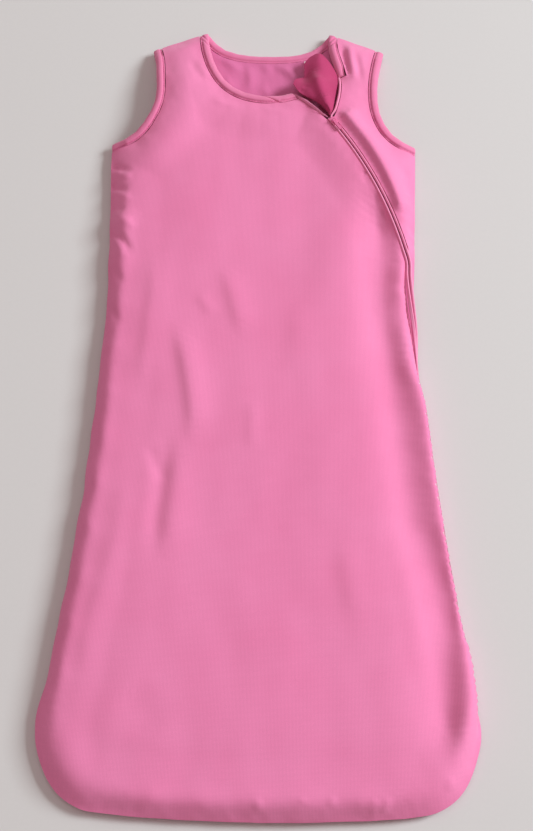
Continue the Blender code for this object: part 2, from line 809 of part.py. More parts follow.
def front_panels(heights, materials):
    """Shell, wadding and lining of the main front, the side panel and the loose corner."""
    loop = front_loop()
    bands = [binding_band(armhole(1), -1, BINDING_WIDTH + TRIM_GAP),
             binding_band(armhole(-1), 1, BINDING_WIDTH + TRIM_GAP),
             binding_band(front_neck_edge(), -1, BINDING_WIDTH + TRIM_GAP),
             binding_band(side_neck(), -1, BINDING_WIDTH + TRIM_GAP, 1.0),
             zip_channel(), branch_band(corner_branch(), 1), branch_band(side_branch(), -1), fold_band()]
    zip_lines = [zip_side_line(reach) for reach in (GUARD_REACH, -GUARD_REACH, 27.0)]
    keep_off = [np.vstack([loop, loop[:1]])] + ring_lines() + zip_lines
    extra = grid_points(loop, INNER_SPACING, keep_off, INNER_SPACING * 0.45)
    places, triangles = plane_mesh([loop] + bands, ring_lines() + zip_lines, extra)
    centres = places[triangles].mean(axis=1)
    kept = inside(centres, loop)
    for band in bands:
        kept &= ~inside(centres, band)
    levels = heights.front(places)
    inner = distance(centres, heights.sewn) > LIP
    hinge = fold_axis(heights)[0]
    tip = zip_frame(0.0).origin[:2]
    seeds = {"front": np.array([0.0, 0.0]), "side_front": tip + (45.0, 5.0),
             "corner": (tip + corner_point() + fold_line()[1]) / 3.0}
    for part, chosen in (("shell", kept), ("wadding", kept & inner), ("lining", kept & inner)):
        groups = pieces(triangles[chosen])
        for place, seed in seeds.items():
            centre_gaps = [np.linalg.norm(places[group].mean(axis=1) - seed, axis=1).min() for group in groups]
            group = groups[int(np.argmin(centre_gaps))]
            origin = hinge if place == "corner" else (0.0, 0.0, 0.0)
            layer(place + "_" + part, places, group, *levels[part], materials[part], origin)


# ---------------------------------------------------------------- bindings

def bead_sections(edge, inward, floors, tops, bulge):
    """Sections of a binding: a flat-bottomed roll, domed on its outer side."""
    sections = []
    for place, way, floor, top in zip(edge, inward, floors, tops):
        tall = top - floor
        profile = [(0.0, floor + 0.3 * tall), (0.12, floor + 0.06 * tall), (0.3, floor), (1.0, floor),
                   (1.0, top), (0.72, top + bulge), (0.35, top + 0.8 * bulge), (0.08, floor + 0.8 * tall)]
        sections.append([(*(place + way * part), height) for part, height in profile])
    return sections


def bead(name, edge, side, ends, levels, bulge, material, origin=(0.0, 0.0, 0.0)):
    """A binding roll along an open edge; ends gives the direction of each end section."""
    inward = normals(edge) * side
    for index, way in ((0, ends[0]), (-1, ends[1])):
        if way is not None:
            way = np.asarray(way, float) / np.linalg.norm(way)
            inward[index] = way / max(abs(way @ inward[index]), 0.5)
    inward = inward * BINDING_WIDTH
    found = levels(edge + inward)
    floors = np.minimum(found["lining"][0], found["shell"][0])
    tops = np.maximum(found["lining"][1], found["shell"][1])
    return sweep(name, bead_sections(edge, inward, floors, tops, bulge), material, origin)


def knot(name, place, way, down, low, high, material):
    """Short block at the end of a seam that joins two binding rolls."""
    corners = [place + way * reach + down * run for reach, run in
               ((1.2, 0.2), (BINDING_KNOT, 0.2), (BINDING_KNOT, 2.2), (1.2, 2.2))]
    sections = [[(*corner, low) for corner in corners], [(*corner, high) for corner in corners]]
    return sweep(name, sections, material)


def joined(first, others):
    """Other rolls united with the first by exact Booleans."""
    for other in others:
        with_block(first, other, "UNION")
    return first


def armhole_binding(side, heights, material):
    """Loop of binding round an armhole, on the front and the back."""
    name = "armhole_binding_left" if side > 0 else "armhole_binding_right"
    edge = resampled(armhole(side), BINDING_STEP)
    seam = neck_point(side) - shoulder_tip(side)
    down = side_edge(side, np.array([underarm(side)[1] - 20.0]))[0] - underarm(side)
    ends = (seam, down)
    front = bead(name, edge, -side, ends, heights.front, BINDING_BULGE, material)
    back = bead(name + "_back", edge, -side, ends, heights.back, 0.0, material)
    low, high = SEAM_LEVEL - 1.2, SEAM_LEVEL + 1.2
    top = knot(name + "_top", shoulder_tip(side), unit(seam), unit(edge[1] - edge[0]), low, high, material)
    foot = knot(name + "_foot", underarm(side), unit(down), unit(edge[-2] - edge[-1]), low, high, material)
    return joined(front, [back, top, foot])


def beyond_fold(name, gap, material):
    """Tall block over everything on the loose side of the fold line, starting a gap from it."""
    start, end = fold_line()
    along = unit(end - start)
    across = np.array([along[1], -along[0]])
    near = [start - along * FOLD_REACH + across * gap, end + along * FOLD_NECK_RUN + across * gap]
    corners = [near[0], near[1], near[1] + across * FOLD_REACH, near[0] + across * FOLD_REACH]
    return sweep(name, [[(*corner, height) for corner in corners] for height in (-5.0, 60.0)], material)


def with_block(target, block, operation):
    """Adds an exact Boolean with a hidden block."""
    block.hide_render = True
    block.display_type = "WIRE"
    cut = target.modifiers.new(block.name, "BOOLEAN")
    cut.operation = operation
    cut.solver = "EXACT"
    cut.object = block
    return target


def neck_binding(heights, material):
    """Binding of the neck: front, back and the short run down to the zip's top."""
    edge = resampled(front_neck_edge(), BINDING_STEP)
    seams = {side: shoulder_tip(side) - neck_point(side) for side in (1, -1)}
    branch = corner_branch()
    corner_way = unit(branch[0] - branch[-1])
    last_run = unit(edge[-1] - edge[-2])
    edge[-1] -= last_run * CHANNEL_HALF / abs(last_run[0] * corner_way[1] - last_run[1] * corner_way[0])
    front_ends = (seams[-1], corner_way)
    front = bead("neck_binding", edge, -1, front_ends, heights.front, BINDING_BULGE, material)
    with_block(front, beyond_fold("neck_binding_fold", -FOLD_GAP / 2.0, material), "DIFFERENCE")
    back_edge = resampled(back_neck(), BINDING_STEP)
    back = bead("neck_binding_back", back_edge, 1, (seams[1], seams[-1]), heights.back, 0.0, material)
    right_edge = resampled(side_neck(), BINDING_STEP)
    right = bead("neck_binding_side", right_edge, -1, (None, seams[1]), heights.front, BINDING_BULGE, material)
    low, high = SEAM_LEVEL - 1.2, SEAM_LEVEL + 1.2
    down = np.array([0.0, -1.0])
    knots = [knot(f"neck_binding_knot_{place}", neck_point(side), unit(seams[side]), down, low, high, material)
             for place, side in (("right", -1), ("left", 1))]
    joined(front, [back, right] + knots)
    loose = bead("corner_binding", edge, -1, front_ends, heights.front, BINDING_BULGE, material,
                 fold_axis(heights)[0])
    with_block(loose, beyond_fold("corner_binding_fold", FOLD_GAP / 2.0, material), "INTERSECT")


# ---------------------------------------------------------------- zip

def branch_frames(branch, side, heights):
    """Level frames along an open zip edge, across towards its panel."""
    ways = normals(branch) * side
    seats = heights.front(branch + ways * CHANNEL_HALF)["shell"][1] - TAPE_DEPTH
    made = []
    for place, way, seat in zip(branch, ways, seats):
        made.append(Frame(np.append(place, seat), np.array([way[1], -way[0], 0.0]), np.append(way, 0.0),
                          np.array([0.0, 0.0, 1.0])))
    return made


def tape_profile(side):
    """Section of one tape: side 1 is towards the main panel."""
    return rectangle(*sorted((side * TAPE_SLOT, side * (TAPE_SLOT + TAPE_WIDTH))),
                     -TAPE_THICKNESS / 2.0, TAPE_THICKNESS / 2.0)


def coil_profile(side):
    """Section of one coil half on its tape."""
    left, right = sorted((side * TAPE_SLOT, side * (TAPE_SLOT + COIL_WIDTH)))
    nose = 0.35
    return [(left, COIL_FLOOR), (right, COIL_FLOOR), (right, COIL_TOP - nose), (right - nose, COIL_TOP),
            (left + nose, COIL_TOP), (left, COIL_TOP - nose)]


def shortened(frames, gap):
    """Frames with the last one pulled back by a gap."""
    last, before = frames[-1], frames[-2]
    back = unit(before.origin - last.origin) * gap
    return frames[:-1] + [last._replace(origin=last.origin + back)]


def zip_halves(heights, tape, coil):
    """Tapes, coils and stops of the zip."""
    closed = arc_frames() + side_zip_frames()
    side_open = branch_frames(resampled(side_branch(), 12.0), -1, heights)
    flipped = [frame._replace(across=-frame.across) for frame in side_open]
    side_frames = flipped[::-1][:-1] + closed
    sweep("zip_tape_main", frame_sections(closed, tape_profile(1)), tape)
    sweep("zip_tape_side", frame_sections(side_frames, tape_profile(-1)), tape)
    ends = STOP_LENGTH + LAYER_GAP
    coil_main = shortened(closed, ends)
    coil_side = shortened(shortened(side_frames, ends)[::-1], ends)[::-1]
    sweep("zip_coil_main", frame_sections(coil_main, coil_profile(1)), coil)
    sweep("zip_coil_side", frame_sections(coil_side, coil_profile(-1)), coil)
    end = closed[-1]
    bridge = rectangle(-TAPE_SLOT - COIL_WIDTH, TAPE_SLOT + COIL_WIDTH, COIL_FLOOR, COIL_TOP)
    foot = [end._replace(origin=end.origin - end.along * gap) for gap in (STOP_LENGTH, 0.1)]
    sweep("bottom_stop", frame_sections(foot, bridge), coil)
    head = side_frames[0]
    way = unit(side_frames[1].origin - head.origin)
    top = [head._replace(origin=head.origin + way * gap) for gap in (0.1, STOP_LENGTH)]
    sweep("side_top_stop", frame_sections(top, coil_profile(-1)), coil)


def corner_zip(heights, tape, coil):
    """Tape, coil and stop on the loose corner."""
    origin = fold_axis(heights)[0]
    branch = corner_branch()
    run = unit(branch[-1] - branch[0])
    start, end = fold_line()
    along = unit(end - start)
    sine = abs(run[0] * along[1] - run[1] * along[0])
    cosine = abs(run @ along)
    first = branch[0] + run * (FOLD_GAP / 2.0 / sine + 0.2)
    last = branch[-1] - run * 1.0
    line = np.linspace(first, last, 4)
    frames = branch_frames(line, 1, heights)
    for name, profile, ends in (("corner_tape", tape_profile(1), 0.0),
                                ("corner_coil", coil_profile(1), STOP_LENGTH + LAYER_GAP)):
        placed = shortened(frames, ends) if ends else frames
        sections = frame_sections(placed, profile)
        sections[0] = [point + np.append(run, 0.0) * across * cosine / sine
                       for point, (across, _) in zip(sections[0], profile)]
        sweep(name, sections, tape if name == "corner_tape" else coil, origin)
    top = frames[-1]
    way = unit(frames[-2].origin - top.origin)
    stop = [top._replace(origin=top.origin + way * gap) for gap in (STOP_LENGTH, 0.1)]
    sweep("corner_top_stop", frame_sections(stop, coil_profile(1)), coil, origin)


def slider_levels():
    """Heights above the tape's middle of the slider's plates and of its pin."""
    top = COIL_TOP + SLIDER_FIT
    floor = -TAPE_THICKNESS / 2.0 - SLIDER_FIT
    pin = top + SLIDER_PLATE + EYE_RADIUS + SLIDER_FIT
    return floor, top, pin


def box_sections(frame, low, high, profile):
    """Two sections of a profile across the zip, from one length along it to another."""
    ends = [frame._replace(origin=frame.origin + frame.along * length) for length in (low, high)]
    return frame_sections(ends, profile)


def slider(material):
    """Slider body: two plates on a post between the coils, with ears and a pin for the pull."""
    frame = zip_frame(SLIDER_START)
    floor, top, pin = slider_levels()
    half, width = SLIDER_LENGTH / 2.0, SLIDER_WIDTH / 2.0
    chamfer = 0.8
    upper = [(-width, top - 1.2), (-width + LUG_THICKNESS, top - 1.2), (-width + LUG_THICKNESS, top),
             (width - LUG_THICKNESS, top), (width - LUG_THICKNESS, top - 1.2), (width, top - 1.2),
             (width, top + SLIDER_PLATE - 0.3), (width - chamfer, top + SLIDER_PLATE),
             (-width + chamfer, top + SLIDER_PLATE), (-width, top + SLIDER_PLATE - 0.3)]
    body = sweep("zip_slider", box_sections(frame, -half, half, upper), material, frame.origin)
    lower = rectangle(-width, width, floor - SLIDER_PLATE, floor)
    post = rectangle(-SLIDER_POST / 2.0, SLIDER_POST / 2.0, floor - 0.3, top + 0.3)
    ear_in = PULL_WIDTH / 2.0 + 0.3
    parts = [sweep("zip_slider_plate", box_sections(frame, -half, half, lower), material),
             sweep("zip_slider_post", box_sections(frame, -half + 0.5, -half + 3.0, post), material)]
    for side in (1, -1):
        ear = rectangle(*sorted((side * ear_in, side * (ear_in + LUG_THICKNESS))), top + 0.3, pin + 0.9)
        parts.append(sweep(f"zip_slider_ear_{'main' if side > 0 else 'side'}",
                           box_sections(frame, -1.0, 1.0, ear), material))
    reach = ear_in + LUG_THICKNESS / 2.0
    ring = [(PIN_RADIUS * math.cos(turn), PIN_RADIUS * math.sin(turn))
            for turn in np.linspace(0.0, 2.0 * math.pi, 8, endpoint=False)]
    centre = frame.origin + frame.up * pin
    pin_ends = [[centre + frame.across * place + frame.along * run + frame.up * rise for run, rise in ring]
                for place in (-reach, reach)]
    parts.append(sweep("zip_slider_pin", pin_ends, material))
    return joined(body, parts)


def pull_tab(material):
    """Pull: an eye on the slider's pin and a flat tab with rounded end."""
    frame = zip_frame(SLIDER_START)
    pin = slider_levels()[2]
    centre = frame.origin + frame.up * pin
    half = PULL_THICKNESS / 2.0
    turns = np.linspace(0.0, 2.0 * math.pi, 12, endpoint=False)
    hole = PIN_RADIUS + EYE_FIT

    def section(place, points):
        return [centre + frame.across * place + frame.along * run + frame.up * rise for run, rise in points]

    width = PULL_WIDTH / 2.0
    eye = [(EYE_RADIUS * math.cos(turn), EYE_RADIUS * math.sin(turn)) for turn in turns]
    bore = [(hole * math.cos(turn), hole * math.sin(turn)) for turn in turns]
    body = sweep("zip_pull", [section(-width, eye), section(width, eye)], material, centre)
    outline = [(1.0, -width), (PULL_LENGTH - 1.6, -width - 0.5), (PULL_LENGTH - 0.5, -width),
               (PULL_LENGTH, 0.0), (PULL_LENGTH - 0.5, width), (PULL_LENGTH - 1.6, width + 0.5), (1.0, width)]
    faces = [[centre + frame.along * run + frame.across * across + frame.up * rise for run, across in outline]
             for rise in (-half, half)]
    tab = sweep("zip_pull_tab", faces, material)
    joined(body, [tab])
    cutter = sweep("zip_pull_bore", [section(-width - 1.0, bore), section(width + 1.0, bore)], material)
    return with_block(body, cutter, "DIFFERENCE")


# ---------------------------------------------------------------- guard, fold and tag

def fold_axis(heights):
    """Start of the fold's axis and its direction, level with the highest piece on the fold line."""
    start, end = fold_line()
    places = np.linspace(start, end, 9)
    top = heights.front(places)["shell"][1].max() + BINDING_BULGE + LAYER_GAP
    return np.append(start, top), np.append(unit(end - start), 0.0)


def zip_guard(heights, material):
    """Flat strip behind the closed zip."""
    frames = [frame for frame in arc_frames()]
    lengths = np.linspace(0.0, zip_arc_length(), len(frames))
    frames = [frame for frame, length in zip(frames, lengths) if length < GUARD_LENGTH]
    reaches = (-GUARD_REACH, -CHANNEL_HALF, CHANNEL_HALF, GUARD_REACH)
    sections = []
    for frame in frames:
        places = np.array([frame.origin[:2] + frame.across[:2] * reach for reach in reaches])
        tops = heights.front(places)["lining"][0] - GUARD_GAP
        upper = [(*place, top) for place, top in zip(places, tops)]
        lower = [(*place, top - CLOTH) for place, top in zip(places, tops)]
        sections.append(lower + upper[::-1])
    sweep("zip_guard", sections, material)


def side_crest(heights):
    """Top of the side coil along the open part of the zip."""
    crest = np.array([frame.origin for frame in branch_frames(resampled(side_branch(), 6.0), -1, heights)])
    crest[:, 2] += COIL_TOP
    return crest


def guard_axis(heights):
    """Start and end of the line on which the guard's loose top turns, just above the side coil."""
    crest = side_crest(heights)
    start, end = crest[0] + unit(crest[1] - crest[0]) * FLAP_START, crest[-1]
    run = unit((end - start)[:2])
    parts = (crest[:, :2] - start[:2]) @ run / np.linalg.norm((end - start)[:2])
    lift = (crest[:, 2] - start[2] - parts * (end[2] - start[2])).max() + LAYER_GAP
    return start + (0.0, 0.0, lift), end + (0.0, 0.0, lift)


def guard_flap(heights, material):
    """Loose top of the zip guard: a ridged petal that lies over the open notch."""
    start, end = guard_axis(heights)
    along = unit((end - start)[:2])
    across = np.array([-along[1], along[0]])
    crest = side_crest(heights)
    crest_runs = (crest[:, :2] - start[:2]) @ along
    sections = []
    for run, near, far, rise in FLAP_OUTLINE:
        middle = near + FLAP_RIDGE_PLACE * (far - near)
        places = [start[:2] + along * run + across * reach for reach in (near, middle, far)]
        level = np.interp(run, crest_runs, crest[:, 2]) + LAYER_GAP
        tops = (level, level + FLAP_RIDGE * rise, level - FLAP_SAG * rise)
        upper = [(*place, top) for place, top in zip(places, tops)]
        lower = [(*place, top - FLAP_THICKNESS) for place, top in zip(places, tops)]
        sections.append(lower + upper[::-1])
    return sweep("zip_guard_top", sections, material, start)


def size_tag(heights, material):
    """Blank tag that hangs from the back neck seam over the lining."""
    sections = []
    for row in tag_places():
        level = heights.back(row)["lining"][1].max() + TAG_GAP
        lower = [(*place, level) for place in row]
        upper = [(*place, level + TAG_THICKNESS) for place in row]
        sections.append(lower + upper[::-1])
    sweep("size_tag", sections, material)


# ---------------------------------------------------------------- assembly

def clear_scene():
    """Removes every object."""
    for item in list(bpy.data.objects):
        bpy.data.objects.remove(item, do_unlink=True)


def main():
    """Builds every piece of the sleeping bag."""
    clear_scene()
    heights = Heights()
    layers = {"shell": outer_jersey(), "wadding": white_wadding(), "lining": lining_jersey()}
    back_panel(heights, layers)
    front_panels(heights, layers)
    binding = binding_jersey()
    armhole_binding(1, heights, binding)
    armhole_binding(-1, heights, binding)
    neck_binding(heights, binding)
    tape, coil = woven_tape(), nylon_coil()
    zip_halves(heights, tape, coil)
    corner_zip(heights, tape, coil)
    metal = lacquered_zinc()
    slider(metal)
    pull_tab(metal)
    guard = guard_jersey()
    zip_guard(heights, guard)
    guard_flap(heights, guard)
    size_tag(heights, satin_tag())


main()
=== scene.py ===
"""Sleeveless padded baby sleeping bag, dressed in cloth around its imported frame.

The frame gives every place. Outlines and heights of the cloth layers are read from its solids, and
each soft solid is stood for by a finer piece in the same place. Lengths are in metres unless a name
ends in _mm. +Y points to the neck, +X to the wearer's left, and the bag lies on its back.
"""

import json
import logging
import math
from dataclasses import dataclass, field
from enum import Enum
from itertools import permutations

import bpy
import numpy as np
from mathutils import Matrix, Vector, noise
from mathutils.bvhtree import BVHTree
from mathutils.geometry import delaunay_2d_cdt
from mathutils.kdtree import KDTree


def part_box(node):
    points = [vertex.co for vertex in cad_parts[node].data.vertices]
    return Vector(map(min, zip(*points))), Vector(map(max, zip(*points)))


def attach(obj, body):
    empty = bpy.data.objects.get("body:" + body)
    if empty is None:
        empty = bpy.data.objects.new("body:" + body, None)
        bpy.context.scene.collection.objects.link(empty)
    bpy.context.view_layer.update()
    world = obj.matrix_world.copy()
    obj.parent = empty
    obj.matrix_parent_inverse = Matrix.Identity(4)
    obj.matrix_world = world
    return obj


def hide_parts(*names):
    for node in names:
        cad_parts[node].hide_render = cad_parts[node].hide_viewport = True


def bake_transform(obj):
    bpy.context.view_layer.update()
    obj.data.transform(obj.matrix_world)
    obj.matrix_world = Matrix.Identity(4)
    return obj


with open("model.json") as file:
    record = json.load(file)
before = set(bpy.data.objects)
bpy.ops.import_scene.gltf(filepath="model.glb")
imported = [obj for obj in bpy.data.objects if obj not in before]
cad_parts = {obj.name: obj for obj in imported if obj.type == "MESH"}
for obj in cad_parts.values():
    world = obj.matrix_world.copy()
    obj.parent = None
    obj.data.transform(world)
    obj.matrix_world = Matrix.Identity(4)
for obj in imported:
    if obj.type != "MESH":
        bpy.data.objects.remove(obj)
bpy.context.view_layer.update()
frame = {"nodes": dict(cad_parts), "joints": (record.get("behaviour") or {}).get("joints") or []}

MM = 0.001
LOG = logging.getLogger("sleeping_bag")
EDGE_STEP = 3.0 * MM


# ---------------------------------------------------------------- colours and nodes

def linear(code: str) -> tuple[float, float, float, float]:
    """Turns an sRGB hex colour to linear RGBA.

    Args:
        code: Six hex digits, with or without a leading hash.

    Returns:
        Red, green, blue and alpha, as colour sockets take them.
    """
    digits = code.lstrip("#")
    parts = [int(digits[i:i + 2], 16) / 255.0 for i in (0, 2, 4)]
    red, green, blue = (v / 12.92 if v <= 0.04045 else ((v + 0.055) / 1.055) ** 2.4 for v in parts)
    return red, green, blue, 1.0


def add_node(tree: bpy.types.NodeTree, kind: str, inputs: dict | None = None,
             **settings: object) -> bpy.types.Node:
    """Adds one node with its settings and links.

    Args:
        tree: Node tree that gets the node.
        kind: Type name of the node.
        inputs: Socket name or number to a value, or to the output socket that feeds it.
        settings: Properties of the node itself.

    Returns:
        The new node.
    """
    node = tree.nodes.new(kind)
    for key, value in settings.items():
        setattr(node, key, value)
    for key, value in (inputs or {}).items():
        if isinstance(value, bpy.types.NodeSocket):
            tree.links.new(value, node.inputs[key])
        else:
            node.inputs[key].default_value = value
    return node


def wave_scale(spacing: float) -> float:
    """Scale of a Wave texture whose bands repeat at a spacing in metres."""
    return math.pi / 10.0 / spacing


def grain_scale(size: float) -> float:
    """Scale of a Noise texture whose grains are of a size in metres."""
    return 1.0 / size


MIX_A, MIX_B, MIX_RESULT = 6, 7, 2  # the colour sockets of a Mix node


@dataclass(frozen=True)
class Surface:
    """A finish: its name, and the shader that its kind of stuff needs."""

    name: str

    def material(self) -> bpy.types.Material:
        """Makes the finish's node material.

        Returns:
            The material, with the finish's shader at its output.
        """
        material = bpy.data.materials.new(self.name)
        material.use_nodes = True
        tree = material.node_tree
        tree.nodes.clear()
        place = add_node(tree, "ShaderNodeTexCoord").outputs["Object"]
        shader = self.shader(tree, place)
        add_node(tree, "ShaderNodeOutputMaterial", {"Surface": shader.outputs[0]})
        return material

    def shader(self, tree: bpy.types.NodeTree, place: bpy.types.NodeSocket) -> bpy.types.Node:
        """Builds the shader, which each kind of stuff does in its own way."""
        raise NotImplementedError

    @staticmethod
    def toned(tree: bpy.types.NodeTree, dye: str, pattern: bpy.types.NodeSocket, least: float,
              most: float) -> bpy.types.NodeSocket:
        """Makes a dye lighter and darker by a pattern.

        Args:
            tree: Node tree of the finish.
            dye: sRGB hex colour.
            pattern: Pattern from 0 to 1.
            least: Brightness where the pattern is 0.
            most: Brightness where the pattern is 1.

        Returns:
            The colour.
        """
        tone = add_node(tree, "ShaderNodeMapRange", {"Value": pattern, "To Min": least, "To Max": most})
        return add_node(tree, "ShaderNodeHueSaturation", {
            "Color": linear(dye), "Value": tone.outputs[0]}).outputs[0]


@dataclass(frozen=True)
class KnitJersey(Surface):
    """Cotton single jersey, weft knitted and piece dyed.

    A fine rib of wales crosses the courses, and the brushed face gives a soft pale bloom at grazing
    angles. The dye is a little uneven at random, and it is painted deeper along the sewn edges and in
    the binding grooves, as painted shade.
    """

    dye: str
    # Darker dye that the random patches and the painted seam shade both mix towards.
    patch_and_shade_dye: str
    wale: float = 1.3 * MM  # the real knit has about 0.7 mm wales, drawn coarser so that they show
    course: float = 1.1 * MM
    knit_depth: float = 0.10 * MM
    fibre: float = 0.66667 * MM  # real fibres are about 0.02 mm, drawn coarser so that they show
    dye_patch: float = 76.923 * MM
    unevenness: float = 0.4
    # How much painted shade the seam mark adds to the dye.
    seam_shade_depth: float = 0.35
    sheen: float = 0.35
    sheen_tint: tuple[float, float, float, float] = (1.0, 0.86, 0.92, 1.0)
    roughness: float = 0.86

    def shader(self, tree: bpy.types.NodeTree, place: bpy.types.NodeSocket) -> bpy.types.Node:
        """Builds the knit's shader.

        Args:
            tree: Node tree of the finish.
            place: Place on the piece, in metres.

        Returns:
            The shader node.
        """
        cloud = add_node(tree, "ShaderNodeTexNoise", {
            "Vector": place, "Scale": grain_scale(self.dye_patch), "Detail": 3.0, "Roughness": 0.55})
        fibre = add_node(tree, "ShaderNodeTexNoise", {
            "Vector": place, "Scale": grain_scale(self.fibre), "Detail": 2.0})
        wales, courses = (add_node(tree, "ShaderNodeTexWave", {
            "Vector": place, "Scale": wave_scale(spacing), "Distortion": waver, "Detail": 2.0,
            "Detail Scale": 1.5}, bands_direction=direction)
            for spacing, waver, direction in ((self.wale, 1.2, "X"), (self.course, 1.6, "Y")))
        loops = add_node(tree, "ShaderNodeMath", {
            0: wales.outputs["Fac"], 1: courses.outputs["Fac"]}, operation="MULTIPLY")
        # This attribute carries painted shade, which darkens the dye along sewn edges and in binding
        # grooves.
        seam = add_node(tree, "ShaderNodeAttribute", attribute_name="painted_seam_shade")
        uneven = add_node(tree, "ShaderNodeMapRange", {
            "Value": cloud.outputs["Fac"], "From Min": 0.35, "From Max": 0.75, "To Min": 0.0,
            "To Max": self.unevenness})
        # Random dye patches, plus the painted seam shade.
        patch_and_shade = add_node(tree, "ShaderNodeMath", {
            0: seam.outputs["Fac"], 1: self.seam_shade_depth, 2: uneven.outputs[0]},
            operation="MULTIPLY_ADD", use_clamp=True)
        dyed = add_node(tree, "ShaderNodeMix", {
            "Factor": patch_and_shade.outputs[0], MIX_A: linear(self.dye), MIX_B: linear(self.patch_and_shade_dye)},
            data_type="RGBA")
        between = add_node(tree, "ShaderNodeMapRange", {
            "Value": loops.outputs[0], "From Max": 0.5, "To Min": 0.90, "To Max": 1.03})
        flecked = add_node(tree, "ShaderNodeMapRange", {
            "Value": fibre.outputs["Fac"], "From Min": 0.3, "From Max": 0.7, "To Min": 0.96,
            "To Max": 1.04})
        value = add_node(tree, "ShaderNodeMath", {0: between.outputs[0], 1: flecked.outputs[0]},
                         operation="MULTIPLY")
        colour = add_node(tree, "ShaderNodeHueSaturation", {
            "Color": dyed.outputs[MIX_RESULT], "Value": value.outputs[0]})
        height = add_node(tree, "ShaderNodeMath", {
            0: fibre.outputs["Fac"], 1: 0.35, 2: loops.outputs[0]}, operation="MULTIPLY_ADD")
        bump = add_node(tree, "ShaderNodeBump", {
            "Height": height.outputs[0], "Distance": self.knit_depth, "Strength": 0.7})
        return add_node(tree, "ShaderNodeBsdfPrincipled", {
            "Base Color": colour.outputs[0], "Roughness": self.roughness, "Specular IOR Level": 0.18,
            "Sheen Weight": self.sheen, "Sheen Roughness": 0.45, "Sheen Tint": self.sheen_tint,
            "Normal": bump.outputs[0]})


@dataclass(frozen=True)
class WovenTape(Surface):
    """Polyester herringbone tape, woven flat and dyed to match: tight slanted ribs, slight gloss."""

    dye: str
    rib: float = 0.7 * MM
    rib_depth: float = 0.08 * MM
    mottle: float = 4.5455 * MM
    roughness: float = 0.62

    def shader(self, tree: bpy.types.NodeTree, place: bpy.types.NodeSocket) -> bpy.types.Node:
        """Builds the tape's shader.

        Args:
            tree: Node tree of the finish.
            place: Place on the piece, in metres.

        Returns:
            The shader node.
        """
        ribs = add_node(tree, "ShaderNodeTexWave", {
            "Vector": place, "Scale": wave_scale(self.rib), "Distortion": 0.6, "Detail": 1.0},
            bands_direction="DIAGONAL")
        mottle = add_node(tree, "ShaderNodeTexNoise", {
            "Vector": place, "Scale": grain_scale(self.mottle), "Detail": 3.0})
        colour = self.toned(tree, self.dye, mottle.outputs["Fac"], 0.9, 1.08)
        bump = add_node(tree, "ShaderNodeBump", {
            "Height": ribs.outputs["Fac"], "Distance": self.rib_depth, "Strength": 0.6})
        return add_node(tree, "ShaderNodeBsdfPrincipled", {
            "Base Color": colour, "Roughness": self.roughness, "Specular IOR Level": 0.3,
            "Sheen Weight": 0.2, "Normal": bump.outputs[0]})


@dataclass(frozen=True)
class FibreWadding(Surface):
    """Carded polyester wadding: loose white fibres with a cloudy, light-catching surface."""

    dye: str = "f1eee6"
    tuft: float = 2.381 * MM
    tuft_depth: float = 0.5 * MM

    def shader(self, tree: bpy.types.NodeTree, place: bpy.types.NodeSocket) -> bpy.types.Node:
        """Builds the wadding's shader.

        Args:
            tree: Node tree of the finish.
            place: Place on the piece, in metres.

        Returns:
            The shader node.
        """
        strands = add_node(tree, "ShaderNodeTexNoise", {
            "Vector": place, "Scale": grain_scale(self.tuft), "Detail": 6.0, "Roughness": 0.7,
            "Distortion": 1.5})
        colour = self.toned(tree, self.dye, strands.outputs["Fac"], 0.86, 1.05)
        bump = add_node(tree, "ShaderNodeBump", {
            "Height": strands.outputs["Fac"], "Distance": self.tuft_depth})
        return add_node(tree, "ShaderNodeBsdfPrincipled", {
            "Base Color": colour, "Roughness": 0.95, "Sheen Weight": 0.5, "Normal": bump.outputs[0]})


@dataclass(frozen=True)
class SatinRibbon(Surface):
    """White polyester satin, woven with long floats: a bright streaked gloss across the weft."""

    dye: str = "f6f3ee"
    float_width: float = 0.5 * MM
    float_depth: float = 0.05 * MM

    def shader(self, tree: bpy.types.NodeTree, place: bpy.types.NodeSocket) -> bpy.types.Node:
        """Builds the satin's shader.

        Args:
            tree: Node tree of the finish.
            place: Place on the piece, in metres.

        Returns:
            The shader node.
        """
        floats = add_node(tree, "ShaderNodeTexWave", {
            "Vector": place, "Scale": wave_scale(self.float_width), "Distortion": 2.0},
            bands_direction="X")
        colour = self.toned(tree, self.dye, floats.outputs["Fac"], 0.93, 1.0)
        bump = add_node(tree, "ShaderNodeBump", {
            "Height": floats.outputs["Fac"], "Distance": self.float_depth})
        return add_node(tree, "ShaderNodeBsdfPrincipled", {
            "Base Color": colour, "Roughness": 0.38, "Normal": bump.outputs[0]})


@dataclass(frozen=True)
class DyedNylon(Surface):
    """Extruded nylon thread or moulded nylon, dyed through: smooth, with a waxy highlight."""

    dye: str
    flow: float = 1.1111 * MM
    ior: float = 1.53

    def shader(self, tree: bpy.types.NodeTree, place: bpy.types.NodeSocket) -> bpy.types.Node:
        """Builds the nylon's shader.

        Args:
            tree: Node tree of the finish.
            place: Place on the piece, in metres.

        Returns:
            The shader node.
        """
        flow = add_node(tree, "ShaderNodeTexNoise", {
            "Vector": place, "Scale": grain_scale(self.flow), "Detail": 2.0})
        colour = self.toned(tree, self.dye, flow.outputs["Fac"], 0.95, 1.05)
        rough = add_node(tree, "ShaderNodeMapRange", {
            "Value": flow.outputs["Fac"], "To Min": 0.34, "To Max": 0.46})
        return add_node(tree, "ShaderNodeBsdfPrincipled", {
            "Base Color": colour, "Roughness": rough.outputs[0], "IOR": self.ior,
            "Subsurface Weight": 0.08})


